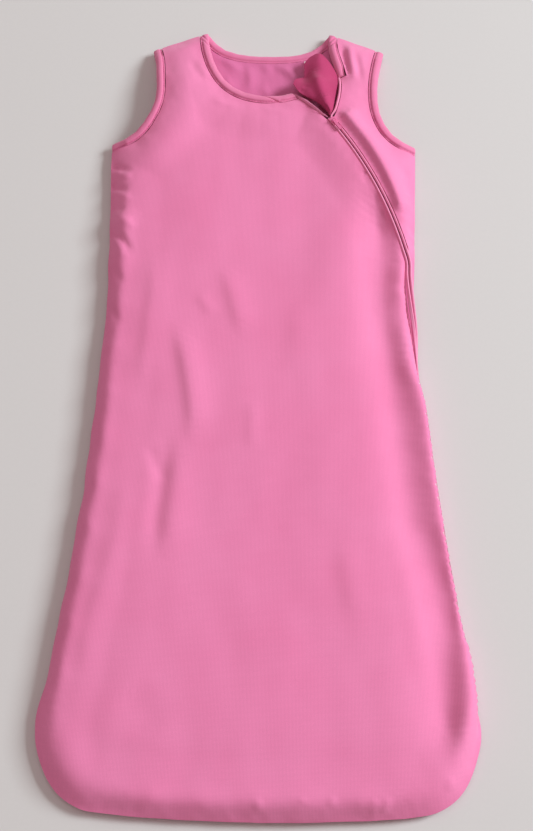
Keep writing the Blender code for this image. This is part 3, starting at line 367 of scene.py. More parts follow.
@dataclass(frozen=True)
class LacqueredZinc(Surface):
    """Die-cast zinc, tumbled and sprayed with a stoved satin lacquer: an even coat, fine orange peel."""

    lacquer: str
    worn: str
    peel: float = 0.625 * MM
    peel_depth: float = 0.02 * MM
    rub: float = 2.0 * MM

    def shader(self, tree: bpy.types.NodeTree, place: bpy.types.NodeSocket) -> bpy.types.Node:
        """Builds the lacquer's shader.

        Args:
            tree: Node tree of the finish.
            place: Place on the piece, in metres.

        Returns:
            The shader node.
        """
        peel = add_node(tree, "ShaderNodeTexNoise", {
            "Vector": place, "Scale": grain_scale(self.peel), "Detail": 2.0})
        rub = add_node(tree, "ShaderNodeTexNoise", {
            "Vector": place, "Scale": grain_scale(self.rub), "Detail": 4.0})
        thin = add_node(tree, "ShaderNodeMapRange", {
            "Value": rub.outputs["Fac"], "From Min": 0.58, "From Max": 0.75, "To Max": 0.5})
        colour = add_node(tree, "ShaderNodeMix", {
            "Factor": thin.outputs[0], MIX_A: linear(self.lacquer), MIX_B: linear(self.worn)},
            data_type="RGBA")
        bump = add_node(tree, "ShaderNodeBump", {
            "Height": peel.outputs["Fac"], "Distance": self.peel_depth})
        return add_node(tree, "ShaderNodeBsdfPrincipled", {
            "Base Color": colour.outputs[MIX_RESULT], "Roughness": 0.33, "Coat Weight": 0.4,
            "Coat Roughness": 0.2, "Normal": bump.outputs[0]})


@dataclass(frozen=True)
class MatteBoard(Surface):
    """Painted studio board under the bag: a plain pale matte ground with the faintest grain."""

    paint: str
    grain: float = 3.8462 * MM

    def shader(self, tree: bpy.types.NodeTree, place: bpy.types.NodeSocket) -> bpy.types.Node:
        """Builds the board's shader.

        Args:
            tree: Node tree of the finish.
            place: Place on the piece, in metres.

        Returns:
            The shader node.
        """
        grain = add_node(tree, "ShaderNodeTexNoise", {
            "Vector": place, "Scale": grain_scale(self.grain), "Detail": 4.0})
        colour = self.toned(tree, self.paint, grain.outputs["Fac"], 0.985, 1.015)
        return add_node(tree, "ShaderNodeBsdfPrincipled", {
            "Base Color": colour, "Roughness": 0.9, "Specular IOR Level": 0.1})


class Finish(Enum):
    """Every finish of the bag, by the record's slot name."""

    OUTER = KnitJersey("brushed_outer_jersey", "f991c2", "f07fb0")
    LINING = KnitJersey("plain_lining_jersey", "e77fb2", "d96a9f", sheen=0.25)
    BINDING = KnitJersey("folded_binding_jersey", "f088b4", "dd6c9f", wale=1.1 * MM, course=0.9 * MM)
    # The guard's deep crimson is painted shade: its dye is darker to stand for the shade that its loose
    # top lies in.
    GUARD = KnitJersey("shade_deepened_guard_jersey", "c94a7c", "a93060", sheen=0.15)
    WADDING = FibreWadding("carded_wadding")
    TAPE = WovenTape("herringbone_zip_tape", "f191bb")
    NYLON = DyedNylon("extruded_nylon", "e070a2")
    ZINC = LacqueredZinc("stoved_lacquer_on_zinc", "e873a6", "f2a9c6")
    TAG = SatinRibbon("woven_satin_tag")
    THREAD = DyedNylon("spun_sewing_thread", "d95f95")
    BOARD = MatteBoard("painted_board", "dadada")


_made: dict[Finish, bpy.types.Material] = {}


def dressed(finish: Finish) -> bpy.types.Material:
    """The finish's material, which is made once.

    Args:
        finish: The finish.

    Returns:
        Its material.
    """
    if finish not in _made:
        _made[finish] = finish.value.material()
    return _made[finish]


# ---------------------------------------------------------------- plane geometry

def smooth(value: np.ndarray) -> np.ndarray:
    """Smooth step from 0 to 1."""
    held = np.clip(value, 0.0, 1.0)
    return held * held * (3.0 - 2.0 * held)


def gap_to(places: np.ndarray, line: np.ndarray) -> np.ndarray:
    """Distance in plan from places to a line of points.

    Args:
        places: Places, of which only x and y count.
        line: Points of the line.

    Returns:
        Distance of each place to its nearest point of the line.
    """
    tree = KDTree(len(line))
    for number, (x, y) in enumerate(line[:, :2]):
        tree.insert((x, y, 0.0), number)
    tree.balance()
    return np.array([tree.find((x, y, 0.0))[2] for x, y in places[:, :2]])


def run_along(points: np.ndarray) -> np.ndarray:
    """Length of a line of points from its start to each of them."""
    return np.concatenate([[0.0], np.cumsum(np.linalg.norm(np.diff(points, axis=0), axis=1))])


def curved(points: np.ndarray, step: float) -> np.ndarray:
    """Evenly spaced points on the smooth curve through a line of points.

    Args:
        points: Points of the line, in order.
        step: Wanted spacing along the curve.

    Returns:
        Points of the curve, both ends included.
    """
    run = run_along(points)
    slopes = np.gradient(points, run, axis=0)
    at = np.linspace(0.0, run[-1], max(2, round(run[-1] / step) + 1))
    piece = np.clip(np.searchsorted(run, at, side="right") - 1, 0, len(points) - 2)
    span = np.diff(run)[piece][:, None]
    t = (at - run[piece])[:, None] / span
    return ((2 * t**3 - 3 * t**2 + 1) * points[piece] + (t**3 - 2 * t**2 + t) * span * slopes[piece]
            + (3 * t**2 - 2 * t**3) * points[piece + 1] + (t**3 - t**2) * span * slopes[piece + 1])


def turning(loop: np.ndarray) -> np.ndarray:
    """Angle by which a closed loop turns at each of its points.

    Args:
        loop: Points of the loop.

    Returns:
        Angles in radians, above zero to the left.
    """
    before = loop - np.roll(loop, 1, axis=0)
    after = np.roll(loop, -1, axis=0) - loop
    cross = before[:, 0] * after[:, 1] - before[:, 1] * after[:, 0]
    return np.arctan2(cross, (before * after).sum(axis=1))


def rounded_loop(loop: np.ndarray, step: float, corner: float = math.radians(32.0)) -> np.ndarray:
    """The same closed loop as smooth curves between its sharp corners.

    Args:
        loop: Points of the loop.
        step: Wanted spacing.
        corner: Least turn that counts as a corner.

    Returns:
        Points of the finer loop.
    """
    sharp = np.flatnonzero(np.abs(turning(loop)) > corner)
    if not len(sharp):
        sharp = np.array([0])
    loop = np.roll(loop, -sharp[0], axis=0)
    sharp = np.append(sharp - sharp[0], len(loop))
    closed = np.vstack([loop, loop[:1]])
    return np.vstack([curved(closed[a:b + 1], step)[:-1] for a, b in zip(sharp[:-1], sharp[1:])])


def loop_area(loop: np.ndarray) -> float:
    """Signed area inside a closed loop."""
    after = np.roll(loop, -1, axis=0)
    return float((loop[:, 0] * after[:, 1] - loop[:, 1] * after[:, 0]).sum() / 2.0)


def wound(loop: np.ndarray) -> np.ndarray:
    """The closed loop, in the order that keeps its inside on the left."""
    return loop[::-1] if loop_area(loop) < 0.0 else loop


def ways_of(loop: np.ndarray) -> tuple[np.ndarray, np.ndarray]:
    """Directions of a wound loop.

    Args:
        loop: Points of the loop, with its inside on the left.

    Returns:
        Directions along the loop and out of it, at each point.
    """
    along = np.roll(loop, -1, axis=0) - np.roll(loop, 1, axis=0)
    along /= np.linalg.norm(along, axis=1)[:, None]
    return along, np.column_stack([along[:, 1], -along[:, 0]])


# ---------------------------------------------------------------- reading meshes and CAD solids

def read_points(mesh: bpy.types.Mesh) -> np.ndarray:
    """Vertex places of a mesh.

    Args:
        mesh: The mesh.

    Returns:
        A place for each vertex.
    """
    places = np.empty(len(mesh.vertices) * 3)
    mesh.vertices.foreach_get("co", places)
    return places.reshape(-1, 3)


def write_points(mesh: bpy.types.Mesh, points: np.ndarray) -> None:
    """Moves the vertices of a mesh."""
    mesh.vertices.foreach_set("co", np.ascontiguousarray(points, np.float32).ravel())
    mesh.update()


def read_normals(mesh: bpy.types.Mesh) -> np.ndarray:
    """Vertex normals of a mesh.

    Args:
        mesh: The mesh.

    Returns:
        A unit direction for each vertex.
    """
    normals = np.empty(len(mesh.vertices) * 3)
    mesh.vertex_normals.foreach_get("vector", normals)
    return normals.reshape(-1, 3)


def read_triangles(mesh: bpy.types.Mesh) -> np.ndarray:
    """Corner numbers of a mesh's triangles.

    Args:
        mesh: The mesh.

    Returns:
        Three vertex numbers for each triangle.
    """
    mesh.calc_loop_triangles()
    corners = np.empty(len(mesh.loop_triangles) * 3, int)
    mesh.loop_triangles.foreach_get("vertices", corners)
    return corners.reshape(-1, 3)


def face_normals(points: np.ndarray, faces: np.ndarray) -> np.ndarray:
    """Normals of triangles, each as long as twice the triangle's area."""
    first, second, third = points[faces].transpose(1, 0, 2)
    return np.cross(second - first, third - first)


def solid_of(*nodes: str) -> tuple[np.ndarray, np.ndarray]:
    """Solids of CAD nodes, with shared corners joined.

    Args:
        nodes: Names of the nodes.

    Returns:
        Corner points, and triangles as numbers of them.
    """
    points, faces, count = [], [], 0
    for name in nodes:
        mesh = frame["nodes"][name].data
        points.append(read_points(mesh))
        faces.append(read_triangles(mesh) + count)
        count += len(mesh.vertices)
    points, faces = np.vstack(points), np.vstack(faces)
    micron = 6
    _, first, index = np.unique(np.round(points, micron), axis=0, return_index=True, return_inverse=True)
    faces = index.reshape(-1)[faces]
    whole = (faces[:, 0] != faces[:, 1]) & (faces[:, 1] != faces[:, 2]) & (faces[:, 0] != faces[:, 2])
    return points[first], faces[whole]


class Side(Enum):
    """The side of a layer that a face looks to."""

    TOP = 1
    UNDER = -1


def facing(points: np.ndarray, faces: np.ndarray, side: Side) -> np.ndarray:
    """The faces that look to one side and aren't walls.

    Args:
        points: Corner points of the solid.
        faces: Its triangles.
        side: Up or down.

    Returns:
        The triangles of that side.
    """
    normal = face_normals(points, faces)
    steep = 0.12
    return faces[normal[:, 2] * side.value > steep * np.linalg.norm(normal, axis=1)]


def rim_edges(faces: np.ndarray) -> np.ndarray:
    """Edges that only one face has.

    Args:
        faces: Triangles.

    Returns:
        Start and end of each edge, in its face's order.
    """
    edges = np.concatenate([faces[:, [0, 1]], faces[:, [1, 2]], faces[:, [2, 0]]])
    known = set(map(tuple, edges.tolist()))
    return np.array([edge for edge in edges.tolist() if (edge[1], edge[0]) not in known])


def outline_of(*nodes: str) -> np.ndarray:
    """Plan outline of a CAD layer, from its upper faces.

    Args:
        nodes: Nodes of the layer.

    Returns:
        Points of the longest closed rim.
    """
    points, faces = solid_of(*nodes)
    after = dict(rim_edges(facing(points, faces, Side.TOP)).tolist())
    best = np.empty((0, 2))
    while after:
        start, at = next(iter(after.items()))
        chain = [start]
        while at != start and at in after:
            chain.append(at)
            at = after.pop(at)
        after.pop(start, None)
        loop = points[chain][:, :2]
        if len(loop) > 2 and abs(loop_area(loop)) > abs(loop_area(best) if len(best) else 0.0):
            best = loop
    return best


class HeightField:
    """A thin plate, bent through the corners of a CAD layer's faces.

    UNIT is the length that the sums are done in, SLACK is how far the plate may miss a corner, and
    OVERSHOOT is how far it may leave the heights of its nearest corners.
    """

    UNIT = 0.1
    SLACK = 2e-5
    APART = 0.8 * MM
    NEIGHBOURS = 16
    OVERSHOOT = 3.0 * MM
    BATCH = 4000

    def __init__(self, nodes: tuple[str, ...], side: Side) -> None:
        """Bends the plate.

        Args:
            nodes: CAD nodes that give the heights.
            side: Which of their sides is followed.
        """
        points, faces = solid_of(*nodes)
        points = points[np.unique(facing(points, faces, side))]
        points = self.outermost(points, side)
        self.centres = points[:, :2] / self.UNIT
        count = len(points)
        system = np.zeros((count + 3, count + 3))
        system[:count, :count] = self.kernel(self.centres) + self.SLACK * np.eye(count)
        system[:count, count] = 1.0
        system[:count, count + 1:] = self.centres
        system[count:, :count] = system[:count, count:].T
        self.weights = np.linalg.solve(system, np.concatenate([points[:, 2], np.zeros(3)]))
        self.heights = points[:, 2]

    def outermost(self, points: np.ndarray, side: Side) -> np.ndarray:
        """Of points that lie over each other in plan, keeps the outer one.

        Args:
            points: Corner points of the side.
            side: The side.

        Returns:
            The points that are kept.
        """
        kept: list[np.ndarray] = []
        taken = KDTree(len(points))
        for point in points[np.argsort(-side.value * points[:, 2])]:
            if not kept or taken.find((point[0], point[1], 0.0))[2] > self.APART:
                kept.append(point)
                taken.insert((point[0], point[1], 0.0), len(kept))
                taken.balance()
        return np.array(kept)

    def kernel(self, places: np.ndarray) -> np.ndarray:
        """Bending kernel between places and the plate's centres."""
        square = ((places[:, None] - self.centres[None]) ** 2).sum(axis=2)
        return 0.5 * square * np.log(square + 1e-12)

    def at(self, places: np.ndarray) -> np.ndarray:
        """Heights of the surface.

        Args:
            places: Plan places.

        Returns:
            Height at each place.
        """
        count = len(self.centres)
        heights = []
        for part in np.array_split(places / self.UNIT, max(1, len(places) // self.BATCH)):
            kernel = self.kernel(part)
            bent = kernel @ self.weights[:count] + self.weights[count] + part @ self.weights[count + 1:]
            square = ((part[:, None] - self.centres[None]) ** 2).sum(axis=2)
            many = min(self.NEIGHBOURS, count) - 1
            near = self.heights[np.argpartition(square, many, axis=1)[:, :many + 1]]
            lowest, highest = near.min(axis=1) - self.OVERSHOOT, near.max(axis=1) + self.OVERSHOOT
            heights.append(np.clip(bent, lowest, highest))
        return np.concatenate(heights)


# ---------------------------------------------------------------- how the cloth lies

@dataclass(frozen=True)
class Fold:
    """A crease or soft ridge in the cloth, drawn along a line in plan.

    Args:
        line_mm: Points of the crest, in order.
        rise_mm: Height of the crest, below zero for a valley.
        left_mm: Reach of its slope on the left of the line.
        right_mm: Reach of its slope on the right of the line.
        ends: Share of the length over which each end fades.
    """

    line_mm: tuple[tuple[float, float], ...]
    rise_mm: float
    left_mm: float
    right_mm: float
    ends: float = 0.35

    def lift(self, places: np.ndarray) -> np.ndarray:
        """Height that the fold adds.

        Args:
            places: Plan places.

        Returns:
            Height to add at each place.
        """
        line = curved(np.array(self.line_mm) * MM, 4.0 * MM)
        added = np.zeros(len(places))
        reach = 3.0 * max(self.left_mm, self.right_mm) * MM
        inside = (places > line.min(axis=0) - reach) & (places < line.max(axis=0) + reach)
        near = np.flatnonzero(inside.all(axis=1))
        if not len(near):
            return added
        offset = places[near, None] - line[None]
        nearest = np.argmin((offset**2).sum(axis=2), axis=1)
        away = offset[np.arange(len(near)), nearest]
        along = np.gradient(line, axis=0)[nearest]
        along /= np.linalg.norm(along, axis=1)[:, None]
        across = along[:, 0] * away[:, 1] - along[:, 1] * away[:, 0]
        width = np.where(across > 0.0, self.left_mm, self.right_mm) * MM
        share = nearest / (len(line) - 1)
        fade = smooth(np.minimum(share, 1.0 - share) / self.ends) if self.ends else np.ones(len(near))
        added[near] = self.rise_mm * MM * fade * np.exp(-((away**2).sum(axis=1)) / width**2)
        return added


def cloudy(places: np.ndarray, across: float, along: float, seed: float) -> np.ndarray:
    """Smooth noise from -1 to 1.

    Args:
        places: Plan places.
        across: Size of its bumps across the bag.
        along: Size of its bumps along the bag.
        seed: Which noise it is.

    Returns:
        A value for each place.
    """
    return np.array([noise.noise((x / across, y / along, seed)) for x, y in places])


FRONT_FOLDS = (
    Fold(((-118, 160), (-116, 114), (-119, 69), (-122, 35), (-122, -15)), 2.0, 16, 9),
    Fold(((-93, 75), (-84, 41), (-77, 9), (-71, -40), (-73, -70)), 3.0, 17, 8),
    Fold(((-71, 104), (-62, 90), (-53, 76)), 1.0, 8, 6),
    Fold(((-45, 138), (-33, 98), (-20, 50)), 1.8, 14, 8),
    Fold(((-97, -45), (-98, -82), (-101, -113), (-105, -149), (-106, -190)), -2.0, 9, 9),
    Fold(((-84, -55), (-86, -95), (-90, -140), (-95, -185)), 1.6, 14, 10),
    Fold(((-115, -60), (-109, -82), (-97, -106)), -1.2, 7, 6),
    Fold(((-11, -10), (-11, -45), (-11, -75)), 0.9, 10, 7),
    Fold(((-134, -80), (-138, -124), (-143, -165), (-153, -204), (-163, -244), (-169, -290),
          (-172, -325)), 1.4, 16, 10),
    Fold(((102, 236), (113, 205), (119, 169), (121, 129), (124, 72), (130, 17), (137, -37),
          (143, -89), (150, -140), (161, -180), (172, -220), (178, -268), (181, -315), (180, -352),
          (171, -385)), -7.5, 14, 19, 0.1),
    Fold(((139, 168), (143, 140), (146, 110), (149, 73), (153, 20)), 4.5, 6, 10, 0.3),
    Fold(((151, 75), (155, 17), (162, -36), (168, -89), (175, -140), (182, -180), (188, -219),
          (193, -267), (196, -315), (193, -352), (184, -384)), 10.0, 8, 12, 0.14),
    Fold(((-153, 250), (-153, 180), (-155, 120), (-159, 60), (-164, -50), (-175, -150), (-188, -250),
          (-197, -320), (-194, -372)), 4.5, 11, 14, 0.15),
    Fold(((-165, -402), (-100, -410), (0, -413), (100, -410), (160, -403)), 3.6, 12, 10, 0.15),
    Fold(((107, -420), (115, -406)), 1.6, 5, 4),
    Fold(((118, -421), (124, -403)), 1.8, 5, 4),
    Fold(((179, -399), (184, -385)), 1.2, 5, 4),
    Fold(((68, -414), (73, -405)), 0.9, 4, 4),
    Fold(((40, -413), (44, -404)), 0.7, 4, 4),
    Fold(((-2, -418), (5, -408)), 0.8, 5, 4),
    Fold(((-87, 387), (-79, 369), (-68, 352)), -1.4, 5, 5),
    Fold(((-81, 389), (-73, 371), (-63, 354)), 1.0, 5, 5),
    Fold(((-62, 332), (-32, 323)), 0.9, 4, 4),
    Fold(((-8, 320), (25, 316)), 0.7, 4, 4),
    Fold(((101, 262), (107, 244), (114, 227)), -1.5, 4, 5),
    Fold(((83, -155), (87, -201), (93, -245)), 1.0, 14, 10),
    Fold(((37, 96), (33, 49), (27, 0)), 0.8, 14, 12),
    Fold(((-132, -305), (-117, -319), (-99, -355)), -1.3, 18, 18),
    Fold(((-170, 262), (-160, 252), (-147, 247)), -2.2, 3, 5, 0.3),
    Fold(((-170, 250), (-158, 243), (-146, 236)), 1.8, 5, 3, 0.3),
    Fold(((-170, 240), (-160, 228), (-148, 224)), -2.6, 3, 5, 0.3),
    Fold(((-170, 226), (-157, 218), (-144, 209)), 1.6, 5, 3, 0.3),
    Fold(((-170, 212), (-160, 204), (-150, 200)), -1.8, 3, 5, 0.3),
    Fold(((-170, 200), (-156, 188), (-138, 178)), 2.0, 6, 4, 0.3),
    Fold(((-170, 186), (-160, 175), (-148, 158), (-142, 146)), -3.0, 3, 6, 0.3),
    Fold(((-168, 172), (-158, 160), (-150, 142)), 1.6, 5, 4, 0.3),
    Fold(((-168, 140), (-158, 128), (-150, 112)), -1.5, 3, 5, 0.3),
    Fold(((-168, 96), (-158, 82), (-152, 66)), -1.6, 3, 6, 0.3),
)
SIDE_FOLDS = (
    Fold(((82, 418), (86, 387), (91, 356)), -3.0, 3, 4),
    Fold(((89, 418), (93, 387), (96, 360)), 1.8, 4, 4),
    Fold(((96, 404), (101, 379), (104, 352)), -2.2, 3, 5),
    Fold(((79, 320), (94, 300), (109, 279), (122, 257), (133, 234), (141, 213), (146, 195)),
         6.5, 13, 4.5, 0.1),
    Fold(((149, 262), (152, 240), (153, 220)), -1.6, 5, 6),
)
NECK_FOLDS = (
    Fold(((-60, 403), (-45, 391), (-30, 374)), 2.6, 6, 4),
    Fold(((-27, 390), (-20, 370), (-24, 352)), 2.0, 6, 4),
    Fold(((5, 392), (22, 379), (41, 364)), 3.2, 7, 4),
    Fold(((-50, 372), (-38, 352)), 1.8, 6, 4),
    Fold(((-9, 362), (6, 342)), 1.6, 5, 4),
    Fold(((-8, 396), (3, 376)), 1.8, 5, 4),
    Fold(((26, 366), (36, 352), (40, 340)), 2.0, 5, 4),
)
PETAL_FOLDS = (
    Fold(((67, 306), (65, 318), (60, 334), (54, 352), (47, 374)), 2.4, 5, 8, 0.12),
    Fold(((67, 306), (64, 320), (58, 336)), 4.0, 9, 9, 0.3),
    Fold(((58, 323), (46, 338), (36, 350)), 0.9, 4, 4, 0.2),
    Fold(((43, 352), (39, 342), (33, 346)), -0.8, 3, 3, 0.2),
)


@dataclass(frozen=True)
class Settle:
    """How far the front layers sink into the empty bag, away from the seams and the fitted edges."""

    depth: float = 5.5 * MM
    seam_free: float = 12.0 * MM
    seam_run: float = 48.0 * MM
    fitted_free: float = 8.0 * MM
    fitted_run: float = 45.0 * MM
    fitted_above: float = -50.0 * MM
    fitted: tuple[str, ...] = ("neck_binding", "armhole_binding_left", "armhole_binding_right",
                               "side_front_shell")

    def drop(self, places: np.ndarray) -> np.ndarray:
        """How far the cloth sinks.

        Args:
            places: Plan places.

        Returns:
            Depth at each place.
        """
        seam = gap_to(places, rounded_loop(outline_of("back_shell"), EDGE_STEP))
        edges = np.vstack([solid_of(node)[0] for node in self.fitted])
        edges = edges[edges[:, 1] > self.fitted_above]
        edge = gap_to(places, edges)
        return (self.depth * smooth((seam - self.seam_free) / self.seam_run)
                * smooth((edge - self.fitted_free) / self.fitted_run))


@dataclass(frozen=True)
class Lie:
    """How one panel's cloth lies: its own folds over a soft swell, calm at its sewn edges.

    Each of the SWELLS is a share, the sizes of its bumps across and along the bag, and a seed.
    """

    SWELLS = ((1.0, 55.0 * MM, 130.0 * MM, 1.7), (0.5, 27.0 * MM, 60.0 * MM, 5.2))
    PUCKER_SIZE = 8.5 * MM
    PUCKER_REACH = 11.0 * MM
    PUCKER_SEED = 9.4

    folds: tuple[Fold, ...] = ()
    swell_mm: float = 0.0
    pucker_mm: float = 0.0
    calm: float = 5.0 * MM
    floor_only_up: bool = False
    settle: Settle | None = None

    def lift(self, places: np.ndarray, edge_gap: np.ndarray) -> np.ndarray:
        """Height that the lie adds.

        Args:
            places: Plan places.
            edge_gap: Distance from each place to the panel's edge.

        Returns:
            Height to add at each place.
        """
        added = sum((fold.lift(places) for fold in self.folds), np.zeros(len(places)))
        if self.swell_mm:
            swells = (share * cloudy(places, *bumps) for share, *bumps in self.SWELLS)
            added += self.swell_mm * MM * sum(swells)
        if self.pucker_mm:
            fade = np.exp(-edge_gap / self.PUCKER_REACH)
            puckers = cloudy(places, self.PUCKER_SIZE, self.PUCKER_SIZE, self.PUCKER_SEED)
            added += self.pucker_mm * MM * fade * puckers
        if self.floor_only_up:
            added = np.abs(added)
        added = added * smooth(edge_gap / self.calm)
        return added - self.settle.drop(places) if self.settle else added


def wander(places: np.ndarray) -> np.ndarray:
    """Small sideways shift of all the cloth, so that no edge runs dead straight.

    It fades to nothing around the zip, the neck and the fold, where fitted pieces meet.

    Args:
        places: Plan places.

    Returns:
        Shift of each place, in plan.
    """
    size, lengthwise = 1.7 * MM, 0.4
    sideways = cloudy(places, 60.0 * MM, 32.0 * MM, 3.1)
    endways = lengthwise * cloudy(places, 30.0 * MM, 60.0 * MM, 7.9)
    shift = np.stack([sideways, endways], axis=1) * size
    right_from, right_run, hem_from, hem_run = -60.0 * MM, 80.0 * MM, -280.0 * MM, 60.0 * MM
    free = smooth((right_from - places[:, 0]) / right_run) + smooth((hem_from - places[:, 1]) / hem_run)
    return shift * np.clip(free, 0.0, 1.0)[:, None]


# ---------------------------------------------------------------- meshes

def put_object(name: str, data: bpy.types.ID) -> bpy.types.Object:
    """Adds an object to the scene.

    Args:
        name: Its name.
        data: Its mesh, light or camera.

    Returns:
        The object.
    """
    piece = bpy.data.objects.new(name, data)
    bpy.context.scene.collection.objects.link(piece)
    return piece


def mark_seam_shade(mesh: bpy.types.Mesh, seam_shade: np.ndarray) -> None:
    """Stores how much painted shade each vertex gets along a seam, from 0 to 1, which darkens the knit's
    dye.
    """
    seam = mesh.attributes.new("painted_seam_shade", "FLOAT", "POINT")
    seam.data.foreach_set("value", seam_shade.astype(np.float32))


def put_mesh(name: str, points: np.ndarray, faces: list, finish: Finish) -> bpy.types.Object:
    """Adds a smooth-shaded mesh object.

    Args:
        name: Name of the piece.
        points: Its vertices.
        faces: Its faces, as vertex numbers.
        finish: Its finish.

    Returns:
        The piece.
    """
    mesh = bpy.data.meshes.new(name)
    mesh.from_pydata(points.tolist(), [], faces)
    mesh.polygons.foreach_set("use_smooth", [True] * len(mesh.polygons))
    mesh.update()
    mesh.materials.append(dressed(finish))
    return put_object(name, mesh)


def cloth_plan(loop: np.ndarray, spacing: float) -> tuple[np.ndarray, np.ndarray]:
    """Fills a plan loop with even triangles.

    Args:
        loop: Points of the closed loop.
        spacing: Side of a triangle.

    Returns:
        Plan points, the loop's own first, and triangles that turn left.
    """
    low, high = loop.min(axis=0), loop.max(axis=0)
    rows = np.arange(low[1], high[1], spacing * math.sqrt(0.75))
    columns = np.arange(low[0], high[0], spacing)
    grid = np.stack(np.meshgrid(columns, rows), axis=2)
    grid[1::2, :, 0] += spacing / 2.0
    grid = grid.reshape(-1, 2)
    grid = grid[gap_to(grid, loop) > 0.6 * spacing]
    number = len(loop)
    edges = [(i, (i + 1) % number) for i in range(number)]
    places = [Vector(place) for place in np.vstack([loop, grid])]
    inside_only, least_gap = 1, 1e-7
    found = delaunay_2d_cdt(places, edges, [], inside_only, least_gap)
    points = np.array([tuple(place) for place in found[0]])
    faces = np.array([list(face) for face in found[2]])
    first, second, third = points[faces].transpose(1, 0, 2)
    one, other = second - first, third - first
    turn = one[:, 0] * other[:, 1] - one[:, 1] * other[:, 0]
    faces[turn < 0.0] = faces[turn < 0.0][:, ::-1]
    return points, faces


def slab(name: str, plan: np.ndarray, faces: np.ndarray, low: np.ndarray, high: np.ndarray,
         seam_shade: np.ndarray, finish: Finish) -> bpy.types.Object:
    """Closed layer of cloth or wadding between two heights.

    Args:
        name: Name of the piece.
        plan: Plan points.
        faces: Triangles on them.
        low: Height of the underside at each point.
        high: Height of the upper side at each point.
        seam_shade: How much painted shade each point gets along a seam, from 0 to 1.
        finish: Its finish.

    Returns:
        The piece.
    """
    count = len(plan)
    points = np.vstack([np.column_stack([plan, high]), np.column_stack([plan, low])])
    rim = rim_edges(faces)
    walls = [(a + count, b + count, b, a) for a, b in rim]
    piece = put_mesh(name, points, faces.tolist() + (faces[:, ::-1] + count).tolist() + walls, finish)
    mesh = piece.data
    sharp = {tuple(sorted(edge)) for edge in rim.tolist()}
    sharp |= {tuple(sorted((a + count, b + count))) for a, b in rim.tolist()}
    flags = mesh.attributes.new("sharp_edge", "BOOLEAN", "EDGE")
    ends = np.empty(len(mesh.edges) * 2, int)
    mesh.edges.foreach_get("vertices", ends)
    pairs = np.sort(ends.reshape(-1, 2), axis=1).tolist()
    flags.data.foreach_set("value", [tuple(pair) in sharp for pair in pairs])
    mark_seam_shade(mesh, np.concatenate([seam_shade, seam_shade]))
    return piece


def soft_form(name: str, nodes: tuple[str, ...], voxel: float, rounds: int,
              finish: Finish) -> bpy.types.Object:
    """CAD solids melted into one soft rounded form.

    Args:
        name: Name of the piece.
        nodes: CAD nodes that it is made from.
        voxel: Fineness of the new mesh.
        rounds: How often it is smoothed.
        finish: Its finish.

    Returns:
        The piece.
    """
    points, faces = solid_of(*nodes)
    rough = put_mesh(name + "_rough", points, faces.tolist(), finish)
    melt = rough.modifiers.new("melt", "REMESH")
    melt.mode = "VOXEL"
    melt.voxel_size = voxel
    melt.use_smooth_shade = True
    ease = rough.modifiers.new("ease", "SMOOTH")
    ease.factor = 0.5
    ease.iterations = rounds
    ready = rough.evaluated_get(bpy.context.evaluated_depsgraph_get())
    mesh = bpy.data.meshes.new_from_object(ready)
    mesh.name = name
    bpy.data.objects.remove(rough, do_unlink=True)
    mesh.materials.clear()
    mesh.materials.append(dressed(finish))
    return put_object(name, mesh)


# ---------------------------------------------------------------- bodies and declarations

class Body(Enum):
    """Bodies that the cloth pieces move with, by the frame's names."""

    BAG = "bag"
    GUARD_TOP = "guard_top"
    CORNER = "front_corner"


@dataclass(frozen=True)
class FoldLine:
    """The line on which the loose corner folds back, read from its joint."""

    bend: float = 7.0 * MM
    play: float = 0.5 * MM

    def joint(self) -> dict:
        """The corner's joint, as the record gives it."""
        return next(joint for joint in frame["joints"] if joint["child"] == Body.CORNER.value)

    def start(self) -> np.ndarray:
        """Point on the line, in plan."""
        return np.array(self.joint()["pos_m"][:2])

    def along(self) -> np.ndarray:
        """Direction of the line, in plan."""
        axis = np.array(self.joint()["axis"][:2])
        return axis / np.linalg.norm(axis)

    def beyond(self) -> np.ndarray:
        """Direction from the line into the loose corner.

        Returns:
            Unit direction in plan.
        """
        low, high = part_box("corner_shell")
        middle = np.array((low + high) / 2.0)[:2]
        across = np.array([-self.along()[1], self.along()[0]])
        return across * np.sign((middle - self.start()) @ across)

    def meet(self, loop: np.ndarray, reach: float = 0.35 * MM) -> np.ndarray:
        """Moves the points of a loop that lie beside the line onto it.

        Args:
            loop: Points of the loop.
            reach: How far from the line a point may lie.

        Returns:
            The loop that meets the line.
        """
        depth = (loop - self.start()) @ self.beyond()
        run = (loop - self.start()) @ self.along()
        low, high = self.span()
        beside = (np.abs(depth) < reach) & (run > low - self.play) & (run < high + self.play)
        return np.where(beside[:, None], loop - depth[:, None] * self.beyond(), loop)

    def span(self) -> tuple[float, float]:
        """Where the line starts and ends, measured along itself."""
        runs = (outline_of("corner_shell") - self.start()) @ self.along()
        return float(runs.min()), float(runs.max())

    def bend_piece(self, piece: bpy.types.Object) -> None:
        """Bakes the placement of a piece of the corner into its mesh.

        Args:
            piece: The piece.
        """
        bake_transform(piece)


def ride(piece: bpy.types.Object, body: Body) -> None:
    """Lets a piece move with its body; a piece of the loose corner only has its placement baked in.

    Args:
        piece: The piece.
        body: Its body.
    """
    if body is Body.CORNER:
        FoldLine().bend_piece(piece)
    else:
        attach(piece, body.value)


